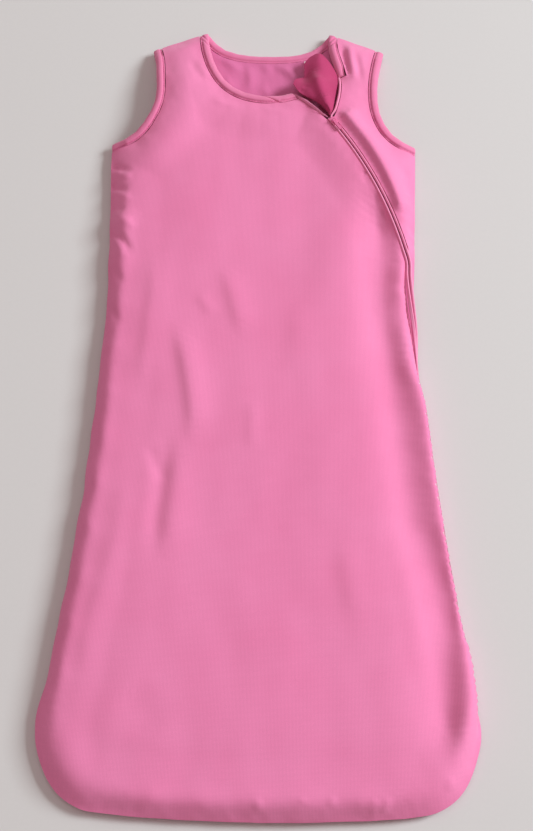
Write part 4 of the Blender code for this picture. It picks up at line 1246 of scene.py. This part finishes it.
@dataclass(frozen=True)
class Overhang:
    """The padded side edge, which bulges outwards over the zip in the side seam."""

    reach: float = 7.0 * MM
    from_height: float = 11.2 * MM
    height_run: float = 4.5 * MM
    full_gap: float = 9.0 * MM
    fade_run: float = 24.0 * MM
    top_y: float = 42.0 * MM
    foot_y: float = -375.0 * MM
    end_run: float = 70.0 * MM
    least_x: float = 90.0 * MM
    out: tuple[float, float] = (0.99, 0.12)

    def shift(self, points: np.ndarray, edge_gap: np.ndarray) -> np.ndarray:
        """How far the panel's points move outwards.

        Args:
            points: Points of the panel.
            edge_gap: Distance from each point to the panel's edge.

        Returns:
            Shift of each point, in plan.
        """
        lifted = smooth((points[:, 2] - self.from_height) / self.height_run)
        near = 1.0 - smooth((edge_gap - self.full_gap) / self.fade_run)
        below_top = smooth((self.top_y - points[:, 1]) / self.end_run)
        above_foot = smooth((points[:, 1] - self.foot_y) / self.end_run)
        share = lifted * near * (below_top * above_foot) * (points[:, 0] > self.least_x)
        return self.reach * share[:, None] * np.array(self.out)


# ---------------------------------------------------------------- cloth layers

class Stuff(Enum):
    """What a layer is."""

    CLOTH = "cloth"
    WADDING = "wadding"


@dataclass
class Layer:
    """One layer of one panel, laid between the upper and lower sides of its CAD solid.

    Args:
        node: CAD node that it stands for.
        slot: Record slot of its finish; not used.
        finish: Its finish.
        lie: How the cloth lies.
        spacing: Side of the mesh's triangles.
        stuff: Cloth or wadding.
        body: Body that it moves with.
        shape_nodes: Nodes that give its heights, if not only its own.
        rests_on: Pieces that it lies on; not used.
        edge_node: Layer whose edge keeps the cloth calm, if not its own.
        overhang: How its padded edge bulges over the side zip.
        spread: How far its free edge reaches past the CAD outline.
        give: How far wadding is pressed down, and drawn in at its edge, under the shell.
        give_reach: How far from the edge the wadding is drawn in.
        least_thickness: Thickness that the layer keeps everywhere.
        seam_shade_reach: How far from the edge the painted seam shade darkens the dye.
        sewn_length: Length of the sewn end of a spread piece.
        seam_allowance: Width added to a cut piece for its curve over the edge; not used.
        least_cut: Smallest side of a cut piece; not used.
    """

    node: str
    slot: str
    finish: Finish
    lie: Lie = field(default_factory=Lie)
    spacing: float = 6.0 * MM
    stuff: Stuff = Stuff.CLOTH
    body: Body = Body.BAG
    shape_nodes: tuple[str, ...] = ()
    rests_on: tuple[str, ...] = ()
    edge_node: str = ""
    overhang: "Overhang | None" = None
    spread: float = 0.0
    give: float = 2.2 * MM
    give_reach: float = 4.0 * MM
    least_thickness: float = 0.5 * MM
    seam_shade_reach: float = 6.0 * MM
    sewn_length: float = 9.0 * MM
    seam_allowance: float = 2.0 * MM
    least_cut: float = 10.1 * MM

    def build(self) -> bpy.types.Object:
        """Returns:
            The piece.
        """
        line = FoldLine()
        loop = wound(rounded_loop(line.meet(outline_of(self.node)), min(self.spacing, EDGE_STEP)))
        if self.spread:
            loop = self.widened(loop)
        plan, faces = cloth_plan(loop, self.spacing)
        shape = self.shape_nodes or (self.node,)
        low, high = (HeightField(shape, side).at(plan) for side in (Side.UNDER, Side.TOP))
        if self.stuff is Stuff.WADDING:
            high -= self.give
        high = np.maximum(high, low + self.least_thickness)
        edge = rounded_loop(line.meet(outline_of(self.edge_node)), EDGE_STEP) if self.edge_node else loop
        crosses_fold = any("corner" in node for node in self.shape_nodes)
        edge_gap = self.gap_past_fold(plan, edge, line) if crosses_fold else gap_to(plan, edge)
        lift = self.lie.lift(plan, edge_gap)
        # Painted shade: the dye is darkened towards the panel's sewn edge, where shade falls.
        seam_shade = np.exp(-edge_gap / self.seam_shade_reach)
        name = self.node + ("_cloth" if self.stuff is Stuff.CLOTH else "_pad")
        piece = slab(name, plan + wander(plan), faces, low + lift, high + lift, seam_shade, self.finish)
        self.shape_edge(piece.data, np.concatenate([edge_gap, edge_gap]))
        self.declare(piece, plan, faces)
        return piece

    def shape_edge(self, mesh: bpy.types.Mesh, edge_gap: np.ndarray) -> None:
        """Lets the edge bulge over the zip, and draws wadding in under the shell.

        Args:
            mesh: Mesh of the layer.
            edge_gap: Distance from each vertex to the panel's edge.
        """
        if self.overhang:
            points = read_points(mesh)
            points[:, :2] += self.overhang.shift(points, edge_gap)
            write_points(mesh, points)
        if self.stuff is Stuff.WADDING:
            points, normals = read_points(mesh), read_normals(mesh)
            near = np.exp(-edge_gap / self.give_reach)
            points[:, :2] -= self.give * near[:, None] * normals[:, :2]
            write_points(mesh, points)

    def widened(self, loop: np.ndarray) -> np.ndarray:
        """Moves the loop outwards by the spread, except at its lowest end, where it is sewn on.

        Args:
            loop: Outline of the piece.

        Returns:
            The wider outline.
        """
        _, out = ways_of(loop)
        free = smooth((loop[:, 1] - loop[:, 1].min()) / self.sewn_length)
        return loop + out * (self.spread * free)[:, None]

    def gap_past_fold(self, plan: np.ndarray, loop: np.ndarray, line: FoldLine) -> np.ndarray:
        """Distance to the panel's real edges, which leaves the fold line out.

        Args:
            plan: Plan points of the layer.
            loop: Edge of the panel.
            line: The fold line.

        Returns:
            Distance from each plan point.
        """
        depth = (loop - line.start()) @ line.beyond()
        run = (loop - line.start()) @ line.along()
        low, high = line.span()
        on_line = 0.05 * MM
        real = (np.abs(depth) > on_line) | (run < low) | (run > high)
        return gap_to(plan, loop[real])

    def declare(self, piece: bpy.types.Object, plan: np.ndarray, faces: np.ndarray) -> None:
        """Hides the CAD part that the piece stands for, lets the piece move with its body, and measures
        a cloth piece's upper area, which nothing uses.

        Args:
            piece: The piece.
            plan: Plan points of the layer.
            faces: Triangles on them.
        """
        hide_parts(self.node)
        ride(piece, self.body)
        if self.stuff is Stuff.WADDING:
            return
        upper = read_points(piece.data)[:len(plan)]
        area = float(np.linalg.norm(face_normals(upper, faces), axis=1).sum() / 2.0)


class BackPanel:
    """The back: shell on the floor, wadding and lining over it."""

    def build(self) -> None:
        """Builds the three layers."""
        under = Lie(swell_mm=0.25, pucker_mm=0.4, floor_only_up=True)
        inner = Lie()
        neck = Lie(folds=NECK_FOLDS, pucker_mm=0.5)
        Layer("back_shell", "outer_jersey", Finish.OUTER, under, 5.0 * MM).build()
        Layer("back_wadding", "white_wadding", Finish.WADDING, inner, 8.0 * MM, Stuff.WADDING).build()
        Layer("back_lining", "lining_jersey", Finish.LINING, neck, 4.0 * MM,
              rests_on=("back_wadding_pad",)).build()


class FrontPanel:
    """The main front panel and its loose corner, which share one surface across the fold line."""

    LIE = Lie(folds=FRONT_FOLDS, swell_mm=0.9, pucker_mm=0.8, calm=3.0 * MM, settle=Settle())

    def build(self) -> None:
        """Builds the layers of the panel and of its corner."""
        for part, body in (("front", Body.BAG), ("corner", Body.CORNER)):
            for layer, slot, finish, spacing, stuff in (
                    ("shell", "outer_jersey", Finish.OUTER, 3.2 * MM, Stuff.CLOTH),
                    ("wadding", "white_wadding", Finish.WADDING, 4.5 * MM, Stuff.WADDING),
                    ("lining", "lining_jersey", Finish.LINING, 6.0 * MM, Stuff.CLOTH)):
                fine = spacing if part == "front" else 2.0 * MM
                Layer(f"{part}_{layer}", slot, finish, self.LIE, fine, stuff, body,
                      (f"front_{layer}", f"corner_{layer}"),
                      ("back_lining_cloth",) if layer == "lining" else (), part + "_shell",
                      Overhang() if part == "front" else None).build()


class SidePanel:
    """The narrow panel between the zip and the left side seam, up to the left shoulder."""

    LIE = Lie(folds=SIDE_FOLDS, swell_mm=0.6, pucker_mm=0.6, calm=2.0 * MM)

    def build(self) -> None:
        """Builds the three layers."""
        Layer("side_front_shell", "outer_jersey", Finish.OUTER, self.LIE, 2.6 * MM).build()
        for layer, slot, finish, stuff in (("wadding", "white_wadding", Finish.WADDING, Stuff.WADDING),
                                           ("lining", "lining_jersey", Finish.LINING, Stuff.CLOTH)):
            Layer(f"side_front_{layer}", slot, finish, self.LIE, 4.0 * MM, stuff,
                  edge_node="side_front_shell").build()


# ---------------------------------------------------------------- bindings

@dataclass
class Binding:
    """Rolled tape over a raw edge, with a topstitched groove beside the panel.

    Args:
        node: CAD node that it stands for.
        panels: CAD layers whose edges it runs along.
        body: Body that it moves with.
        pressed_end: Place in plan where the roll is pressed flat under the zip's end.
        press_reach: How far from that place it is pressed.
        press: How much of its height it loses there.
    """

    node: str
    panels: tuple[str, ...]
    body: Body = Body.BAG
    voxel: float = 0.8 * MM
    groove_place: float = 2.3 * MM
    groove_width: float = 0.75 * MM
    groove_depth: float = 1.1 * MM
    # How strongly the groove's dye is darkened, as painted shade.
    groove_shade: float = 1.6
    plump: float = 0.35 * MM
    plump_run: float = 3.0 * MM
    ripple: float = 0.22 * MM
    ripple_size: float = 9.0 * MM
    rounds: int = 9
    pressed_end: tuple[float, float] | None = None
    press_reach: float = 16.0 * MM
    press: float = 0.22
    press_steepness: float = 1.2

    def build(self) -> bpy.types.Object:
        """Builds the roll.

        Returns:
            The piece.
        """
        piece = soft_form(self.node + "_roll", (self.node,), self.voxel, self.rounds, Finish.BINDING)
        mesh = piece.data
        points, normals = read_points(mesh), read_normals(mesh)
        edge = np.vstack([rounded_loop(outline_of(panel), 1.0 * MM) for panel in self.panels])
        gap = gap_to(points, edge)
        groove = np.exp(-(((gap - self.groove_place) / self.groove_width) ** 2)) * np.abs(normals[:, 2])
        ripple = np.array([noise.noise(Vector(place) / self.ripple_size) for place in points])
        swell = self.plump * smooth((gap - self.groove_place) / self.plump_run)
        offset = swell + ripple * self.ripple - groove * self.groove_depth
        points = points + normals * offset[:, None]
        points[:, :2] += wander(points[:, :2])
        if self.pressed_end:
            self.press_down(points, np.array(self.pressed_end))
        write_points(mesh, points)
        # Painted shade: the dye is darkened in the topstitched groove.
        mark_seam_shade(mesh, np.clip(groove * self.groove_shade, 0.0, 1.0))
        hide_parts(self.node)
        ride(piece, self.body)
        return piece

    def press_down(self, points: np.ndarray, end: np.ndarray) -> None:
        """Presses the roll flatter and narrower around its end.

        Args:
            points: Vertices of the roll, which are moved.
            end: Place in plan.
        """
        away = np.linalg.norm(points[:, :2] - end, axis=1)
        near = smooth(self.press_steepness * (1.0 - away / self.press_reach))
        floor = points[near > 0.0, 2].min()
        points[:, 2] -= self.press * near * (points[:, 2] - floor)
        points[:, :2] += self.press * near[:, None] * (end - points[:, :2])


@dataclass(frozen=True)
class Topstitch:
    """Row of lockstitches in a binding's groove.

    Args:
        roll: Binding that they are sewn through.
        panel: CAD layer whose edge they follow.
        body: Body that they move with.
        pitch: Spacing of the stitches.
        length: Length of one.
        thread: Radius of the thread.
        place: How far outside the panel's edge they run.
        sides: Sides of the thread's section.
        least_up: How far up the roll must face under a stitch.
        longest: Most length of a stitch over a step, as a share of its own.

    Each row of PROFILE is a share of the stitch's length, its rise and its size, in thread radii.
    """

    PROFILE = ((0.0, -0.6, 0.5), (0.2, 0.2, 1.0), (0.5, 0.45, 1.0), (0.8, 0.2, 1.0), (1.0, -0.6, 0.5))

    roll: bpy.types.Object
    panel: str
    body: Body = Body.BAG
    pitch: float = 3.2 * MM
    length: float = 2.3 * MM
    thread: float = 0.28 * MM
    place: float = 2.3 * MM
    sides: int = 6
    least_up: float = 0.2
    longest: float = 1.6

    def build(self) -> None:
        """Lays a short thread on the roll for every stitch."""
        loop = wound(rounded_loop(outline_of(self.panel), self.pitch))
        along, out = ways_of(loop)
        seam = loop + out * self.place
        mesh = self.roll.data
        tree = BVHTree.FromPolygons([v.co for v in mesh.vertices], [p.vertices for p in mesh.polygons])
        stitches, faces = [], []
        for spot, way in zip(seam, along):
            ends = [self.landing(tree, spot + way * side * self.length) for side in (-0.5, 0.5)]
            if any(end is None for end in ends):
                continue
            if np.linalg.norm(ends[1] - ends[0]) < self.longest * self.length:
                faces += self.stitch_faces(len(stitches) * len(self.PROFILE) * self.sides)
                stitches.append(self.stitch(*ends))
        name = f"{self.roll.name}_{self.panel}_stitches"
        piece = put_mesh(name, np.vstack(stitches), faces, Finish.THREAD)
        ride(piece, self.body)
        LOG.info("%s: %d stitches", piece.name, len(stitches))

    def landing(self, tree: BVHTree, spot: np.ndarray) -> np.ndarray | None:
        """Finds the top of the roll.

        Args:
            tree: The roll's faces.
            spot: Place in plan.

        Returns:
            The point on the roll, or None where the roll is missing or too steep.
        """
        above, down = 100.0 * MM, Vector((0.0, 0.0, -1.0))
        hit, normal, _, _ = tree.ray_cast(Vector((*spot, above)), down)
        return np.array(hit) if hit is not None and normal.z > self.least_up else None

    def stitch(self, start: np.ndarray, end: np.ndarray) -> np.ndarray:
        """Points of one stitch: a thread that dips into the cloth at both ends.

        Args:
            start: Where it comes up.
            end: Where it goes down.

        Returns:
            Its points, ring by ring.
        """
        way = (end - start) / np.linalg.norm(end - start)
        across = np.cross(way, (0.0, 0.0, 1.0))
        across /= np.linalg.norm(across)
        up = np.cross(across, way)
        turns = np.arange(self.sides)[:, None] * math.tau / self.sides
        circle = np.cos(turns) * across + np.sin(turns) * up
        return np.vstack([
            start + (end - start) * share + up * rise * self.thread + self.thread * size * circle
            for share, rise, size in self.PROFILE])

    def stitch_faces(self, first: int) -> list[tuple[int, ...]]:
        """Faces of one stitch.

        Args:
            first: Number of its first point.

        Returns:
            Its faces, as vertex numbers.
        """
        faces = []
        for low in range(first, first + (len(self.PROFILE) - 1) * self.sides, self.sides):
            high = low + self.sides
            for i in range(self.sides):
                after = (i + 1) % self.sides
                faces.append((low + i, high + i, high + after, low + after))
        faces.append(tuple(range(first, first + self.sides)))
        faces.append(tuple(range(high, high + self.sides))[::-1])
        return faces


class Bindings:
    """All the bound edges: neck, loose corner and both armholes."""

    def build(self) -> None:
        """Builds each roll."""
        neck = Binding("neck_binding", ("front_shell", "side_front_shell", "back_shell"),
                       pressed_end=(82.0 * MM, 367.0 * MM)).build()
        Binding("corner_binding", ("corner_shell",), Body.CORNER).build()
        left = Binding("armhole_binding_left", ("side_front_shell", "back_shell")).build()
        right = Binding("armhole_binding_right", ("front_shell", "back_shell")).build()
        for roll, panel in ((neck, "front_shell"), (left, "side_front_shell"), (right, "front_shell")):
            Topstitch(roll, panel).build()


# ---------------------------------------------------------------- zip

class Strip:
    """Centre line of a CAD strip with a four-sided section, with its directions across and up."""

    CAP_TURN = 0.8
    CAP_REACH = 4.0 * MM

    def __init__(self, node: str, toward: tuple[float, float, float], step: float) -> None:
        """Reads the strip.

        Args:
            node: CAD node of the strip.
            toward: Direction in which its far end looks.
            step: Spacing of the frames along it.
        """
        points, faces = solid_of(node)
        corners = points[self.sections(points, faces, Vector(toward).normalized())]
        middle = corners.mean(axis=1)
        across = (corners[:, 2] + corners[:, 3] - corners[:, 0] - corners[:, 1]) / 2.0
        up = (corners[:, 1] + corners[:, 3] - corners[:, 0] - corners[:, 2]) / 2.0
        self.centre = curved(middle, step)
        known = run_along(middle)
        known /= known[-1]
        runs = np.linspace(0.0, 1.0, len(self.centre))
        self.across = np.stack([np.interp(runs, known, across[:, axis]) for axis in range(3)], axis=1)
        up = np.stack([np.interp(runs, known, up[:, axis]) for axis in range(3)], axis=1)
        self.up = up / np.linalg.norm(up, axis=1)[:, None] * np.sign(up[:, 2].sum())

    def sections(self, points: np.ndarray, faces: np.ndarray, toward: Vector) -> np.ndarray:
        """Finds the strip's sections.

        Args:
            points: Corner points of the solid.
            faces: Its triangles.
            toward: Direction in which the far end looks.

        Returns:
            Corner numbers of every section, from the far end on, in one order all along.
        """
        normal = face_normals(points, faces)
        reach = points @ np.array(toward)
        cap = faces[normal @ np.array(toward) > self.CAP_TURN * np.linalg.norm(normal, axis=1)]
        last = {int(v) for v in cap.ravel() if reach[v] > reach[cap].max() - self.CAP_REACH}
        beside: dict[int, set[int]] = {}
        for a, b in np.concatenate([faces[:, [0, 1]], faces[:, [1, 2]], faces[:, [2, 0]]]).tolist():
            beside.setdefault(a, set()).add(b)
            beside.setdefault(b, set()).add(a)
        start = min(last)
        order = sorted(last, key=lambda v: float(np.linalg.norm(points[v] - points[start])))
        rows, seen = [order], set(order)
        while ahead := {w for v in rows[-1] for w in beside[v]} - seen:
            seen |= ahead
            shift = points[list(ahead)].mean(axis=0) - points[rows[-1]].mean(axis=0)
            held = points[rows[-1]] + shift
            orders = (list(row) for row in permutations(ahead))
            rows.append(min(orders, key=lambda row: float(((points[row] - held) ** 2).sum())))
        return np.array(rows)


def swept(name: str, strip: Strip, profile: np.ndarray, finish: Finish) -> bpy.types.Object:
    """Sweeps a closed profile along a strip, with both ends closed.

    Args:
        name: Name of the piece.
        strip: The strip that it follows.
        profile: Closed line for every frame: share of the strip's width, and height.
        finish: Its finish.

    Returns:
        The piece.
    """
    count = profile.shape[1]
    points = (strip.centre[:, None] + strip.across[:, None] * profile[:, :, :1]
              + strip.up[:, None] * profile[:, :, 1:]).reshape(-1, 3)
    last = (len(strip.centre) - 1) * count
    faces = [(low + i, low + (i + 1) % count, low + count + (i + 1) % count, low + count + i)
             for low in range(0, last, count) for i in range(count)]
    faces += [tuple(range(count))[::-1], tuple(range(last, last + count))]
    piece = put_mesh(name, points, faces, finish)
    if signed_volume(points, piece.data) < 0.0:
        piece.data.flip_normals()
    return piece


def signed_volume(points: np.ndarray, mesh: bpy.types.Mesh) -> float:
    """Volume inside a mesh.

    Args:
        points: Its vertices.
        mesh: The mesh.

    Returns:
        The volume, below zero if its faces look inwards.
    """
    first, second, third = points[read_triangles(mesh)].transpose(1, 0, 2)
    return float((first * np.cross(second, third)).sum() / 6.0)


@dataclass
class ZipHalf:
    """Half of the zip: a woven tape rolled over its nylon coil, so that no tooth shows.

    Args:
        tape: CAD node of the tape.
        coil: CAD node of the coil under the roll.
        toward: Direction in which the tape's far end looks.
        body: Body that it moves with.
        step: Spacing of the frames along it.
        roll_rise: Height of the roll over the coil.
        tape_rise: Height of the flat tape.
        under: Depth of its underside.
        side_share: Share of the roll's height where the tape stands on edge.
        coil_reach: How near the strip the coil's points count.
    """

    tape: str
    coil: str
    toward: tuple[float, float, float] = (0.05, -1.0, 0.0)
    body: Body = Body.BAG
    step: float = 1.5 * MM
    roll_rise: float = 2.3 * MM
    tape_rise: float = 0.5 * MM
    under: float = 0.95 * MM
    side_share: float = 0.25
    coil_reach: float = 5.0 * MM

    def build(self) -> bpy.types.Object:
        """Builds the rolled tape.

        Returns:
            The piece.
        """
        strip = Strip(self.tape, self.toward, self.step)
        inner = self.inner_side(strip)
        first_turn, fullness, half = 0.1, 0.7, 0.5
        arch = [(half * math.cos(turn), math.sin(turn) ** fullness)
                for turn in np.linspace(first_turn, math.pi / 2.0, 8)]
        slope = [(-half * share, 1.0 - float(smooth(share))) for share in (0.2, 0.4, 0.6, 0.8, 1.0)]
        crown = np.array(arch + slope)
        lying, full_from = np.clip(strip.up[:, 2], 0.0, 1.0), 1.4
        rise = self.roll_rise * (self.side_share + (1.0 - self.side_share) * smooth(lying * full_from))
        top = np.empty((len(lying), len(crown), 2))
        top[:, :, 0] = crown[:, 0] * inner
        top[:, :, 1] = self.tape_rise + crown[None, :, 1] * (rise - self.tape_rise)[:, None]
        corners = [(-half * inner, -self.under), (half * inner, -self.under)]
        base = np.broadcast_to(corners, (len(lying), 2, 2))
        piece = swept(self.tape + "_rolled", strip, np.concatenate([top, base], axis=1), Finish.TAPE)
        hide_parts(self.tape, self.coil)
        ride(piece, self.body)
        return piece

    def inner_side(self, strip: Strip) -> float:
        """Finds the side of the other half of the zip, on which the coil lies.

        Args:
            strip: The tape's strip.

        Returns:
            Sign of that side, along the strip's direction across.
        """
        points, _ = solid_of(self.coil)
        points = points[gap_to(points, strip.centre) < self.coil_reach]
        nearest = [int(np.argmin(((strip.centre - point) ** 2).sum(axis=1))) for point in points]
        away = points - strip.centre[nearest]
        return float(np.sign((away * strip.across[nearest]).sum()))


class Zip:
    """Both zip halves, the loose corner's half, stops, slider and pull."""

    def build(self) -> None:
        """Builds the rolled tapes and dresses the hard parts."""
        ZipHalf("zip_tape_main", "zip_coil_main").build()
        ZipHalf("zip_tape_side", "zip_coil_side").build()
        ZipHalf("corner_tape", "corner_coil", (-0.75, 0.66, 0.0), Body.CORNER).build()
        for node in ("zip_slider", "zip_pull"):
            self.dress(node, Finish.ZINC, 0.18 * MM)
        for node in ("bottom_stop", "side_top_stop", "corner_top_stop"):
            self.dress(node, Finish.NYLON, 0.15 * MM)

    @staticmethod
    def dress(node: str, finish: Finish, ease: float) -> None:
        """Gives a hard CAD part its finish and eases its edges.

        Args:
            node: CAD node.
            finish: Its finish.
            ease: Width of the eased edge.
        """
        part = frame["nodes"][node]
        part.data.materials.clear()
        part.data.materials.append(dressed(finish))
        weld = part.modifiers.new("weld", "WELD")
        weld.merge_threshold = 0.001 * MM
        bevel = part.modifiers.new("eased_edges", "BEVEL")
        bevel.width = ease
        bevel.segments = 2
        bevel.limit_method = "ANGLE"
        bevel.angle_limit = math.radians(30.0)


# ---------------------------------------------------------------- guard and tag

class Guard:
    """Zip guard: a strip under the zip, and its loose top that lies over the open notch."""

    def build(self) -> None:
        """Builds the strip and the loose top."""
        Layer("zip_guard", "guard_jersey", Finish.GUARD, spacing=2.5 * MM).build()
        petal = Lie(folds=PETAL_FOLDS, swell_mm=0.3, calm=0.8 * MM)
        Layer("zip_guard_top", "guard_jersey", Finish.GUARD, petal, 1.6 * MM, body=Body.GUARD_TOP,
              spread=1.8 * MM).build()


class Tag:
    """Blank white satin tag, sewn in at the back neck."""

    def build(self) -> None:
        """Builds the tag."""
        Layer("size_tag", "satin_tag", Finish.TAG, spacing=1.0 * MM).build()


# ---------------------------------------------------------------- studio

@dataclass(frozen=True)
class Lamp:
    """A soft light panel.

    Args:
        name: Its name.
        place: Where it hangs.
        aim: The point that it faces.
        size: Side of the square panel.
        power: Its power in watts.
        tint: Its colour as sRGB hex.
    """

    name: str
    place: tuple[float, float, float]
    aim: tuple[float, float, float]
    size: float
    power: float
    tint: str = "ffffff"

    def hang(self) -> None:
        """Hangs the panel."""
        data = bpy.data.lights.new(self.name, "AREA")
        data.shape = "SQUARE"
        data.size = self.size
        data.energy = self.power
        data.color = linear(self.tint)[:3]
        lamp = put_object(self.name, data)
        lamp.location = self.place
        way = Vector(self.aim) - Vector(self.place)
        lamp.rotation_mode = "QUATERNION"
        lamp.rotation_quaternion = way.to_track_quat("-Z", "Y")


@dataclass(frozen=True)
class Studio:
    """Pale board, soft daylight from the upper right, and the camera over the bag's foot end."""

    floor_side: float = 40.0
    camera_place: tuple[float, float, float] = (0.0096, -0.4565, 1.332)
    camera_aim: tuple[float, float, float] = (0.0037, -0.0285, 0.015)
    camera_turn: float = 0.0138
    lens_mm: float = 58.5
    sensor_mm: float = 36.0
    sky: str = "f6d9d3"
    sky_strength: float = 0.36
    lamps: tuple[Lamp, ...] = (
        Lamp("window", (4.6, 1.42, 3.1), (0.0, 0.0, 0.0), 1.95, 318.0, "f6feff"),
        Lamp("ceiling", (-0.3, 0.4, 3.0), (0.0, 0.0, 0.0), 2.0, 12.0),
    )

    def set_up(self) -> None:
        """Lays the floor, hangs the lamps and points the camera."""
        half = self.floor_side / 2.0
        corners = np.array([(x * half, y * half, 0.0) for x, y in ((-1, -1), (1, -1), (1, 1), (-1, 1))])
        floor = put_mesh("floor_board", corners, [(0, 1, 2, 3)], Finish.BOARD)
        for lamp in self.lamps:
            lamp.hang()
        world = bpy.data.worlds.new("soft_sky")
        world.use_nodes = True
        back = world.node_tree.nodes["Background"]
        back.inputs["Color"].default_value = linear(self.sky)
        back.inputs["Strength"].default_value = self.sky_strength
        scene = bpy.context.scene
        scene.world = world
        scene.view_settings.view_transform = "Standard"
        scene.view_settings.look = "None"
        self.point_camera()

    def point_camera(self) -> None:
        """Makes the camera."""
        data = bpy.data.cameras.new("camera")
        data.lens = self.lens_mm
        data.sensor_width = self.sensor_mm
        data.dof.use_dof = False
        camera = put_object("camera", data)
        ahead = (Vector(self.camera_aim) - Vector(self.camera_place)).normalized()
        right = Vector((math.cos(self.camera_turn), math.sin(self.camera_turn), 0.0))
        right = (right - ahead * right.dot(ahead)).normalized()
        up = right.cross(ahead)
        turn = Matrix((right, up, -ahead)).transposed()
        camera.matrix_world = Matrix.Translation(self.camera_place) @ turn.to_4x4()
        bpy.context.scene.camera = camera


def main() -> None:
    """Dresses the whole bag."""
    logging.basicConfig(level=logging.INFO, format="%(message)s")
    Studio().set_up()
    for part in (BackPanel(), FrontPanel(), SidePanel(), Bindings(), Zip(), Guard(), Tag()):
        part.build()
        LOG.info("%s done", type(part).__name__)


if __name__ == "__main__":
    main()
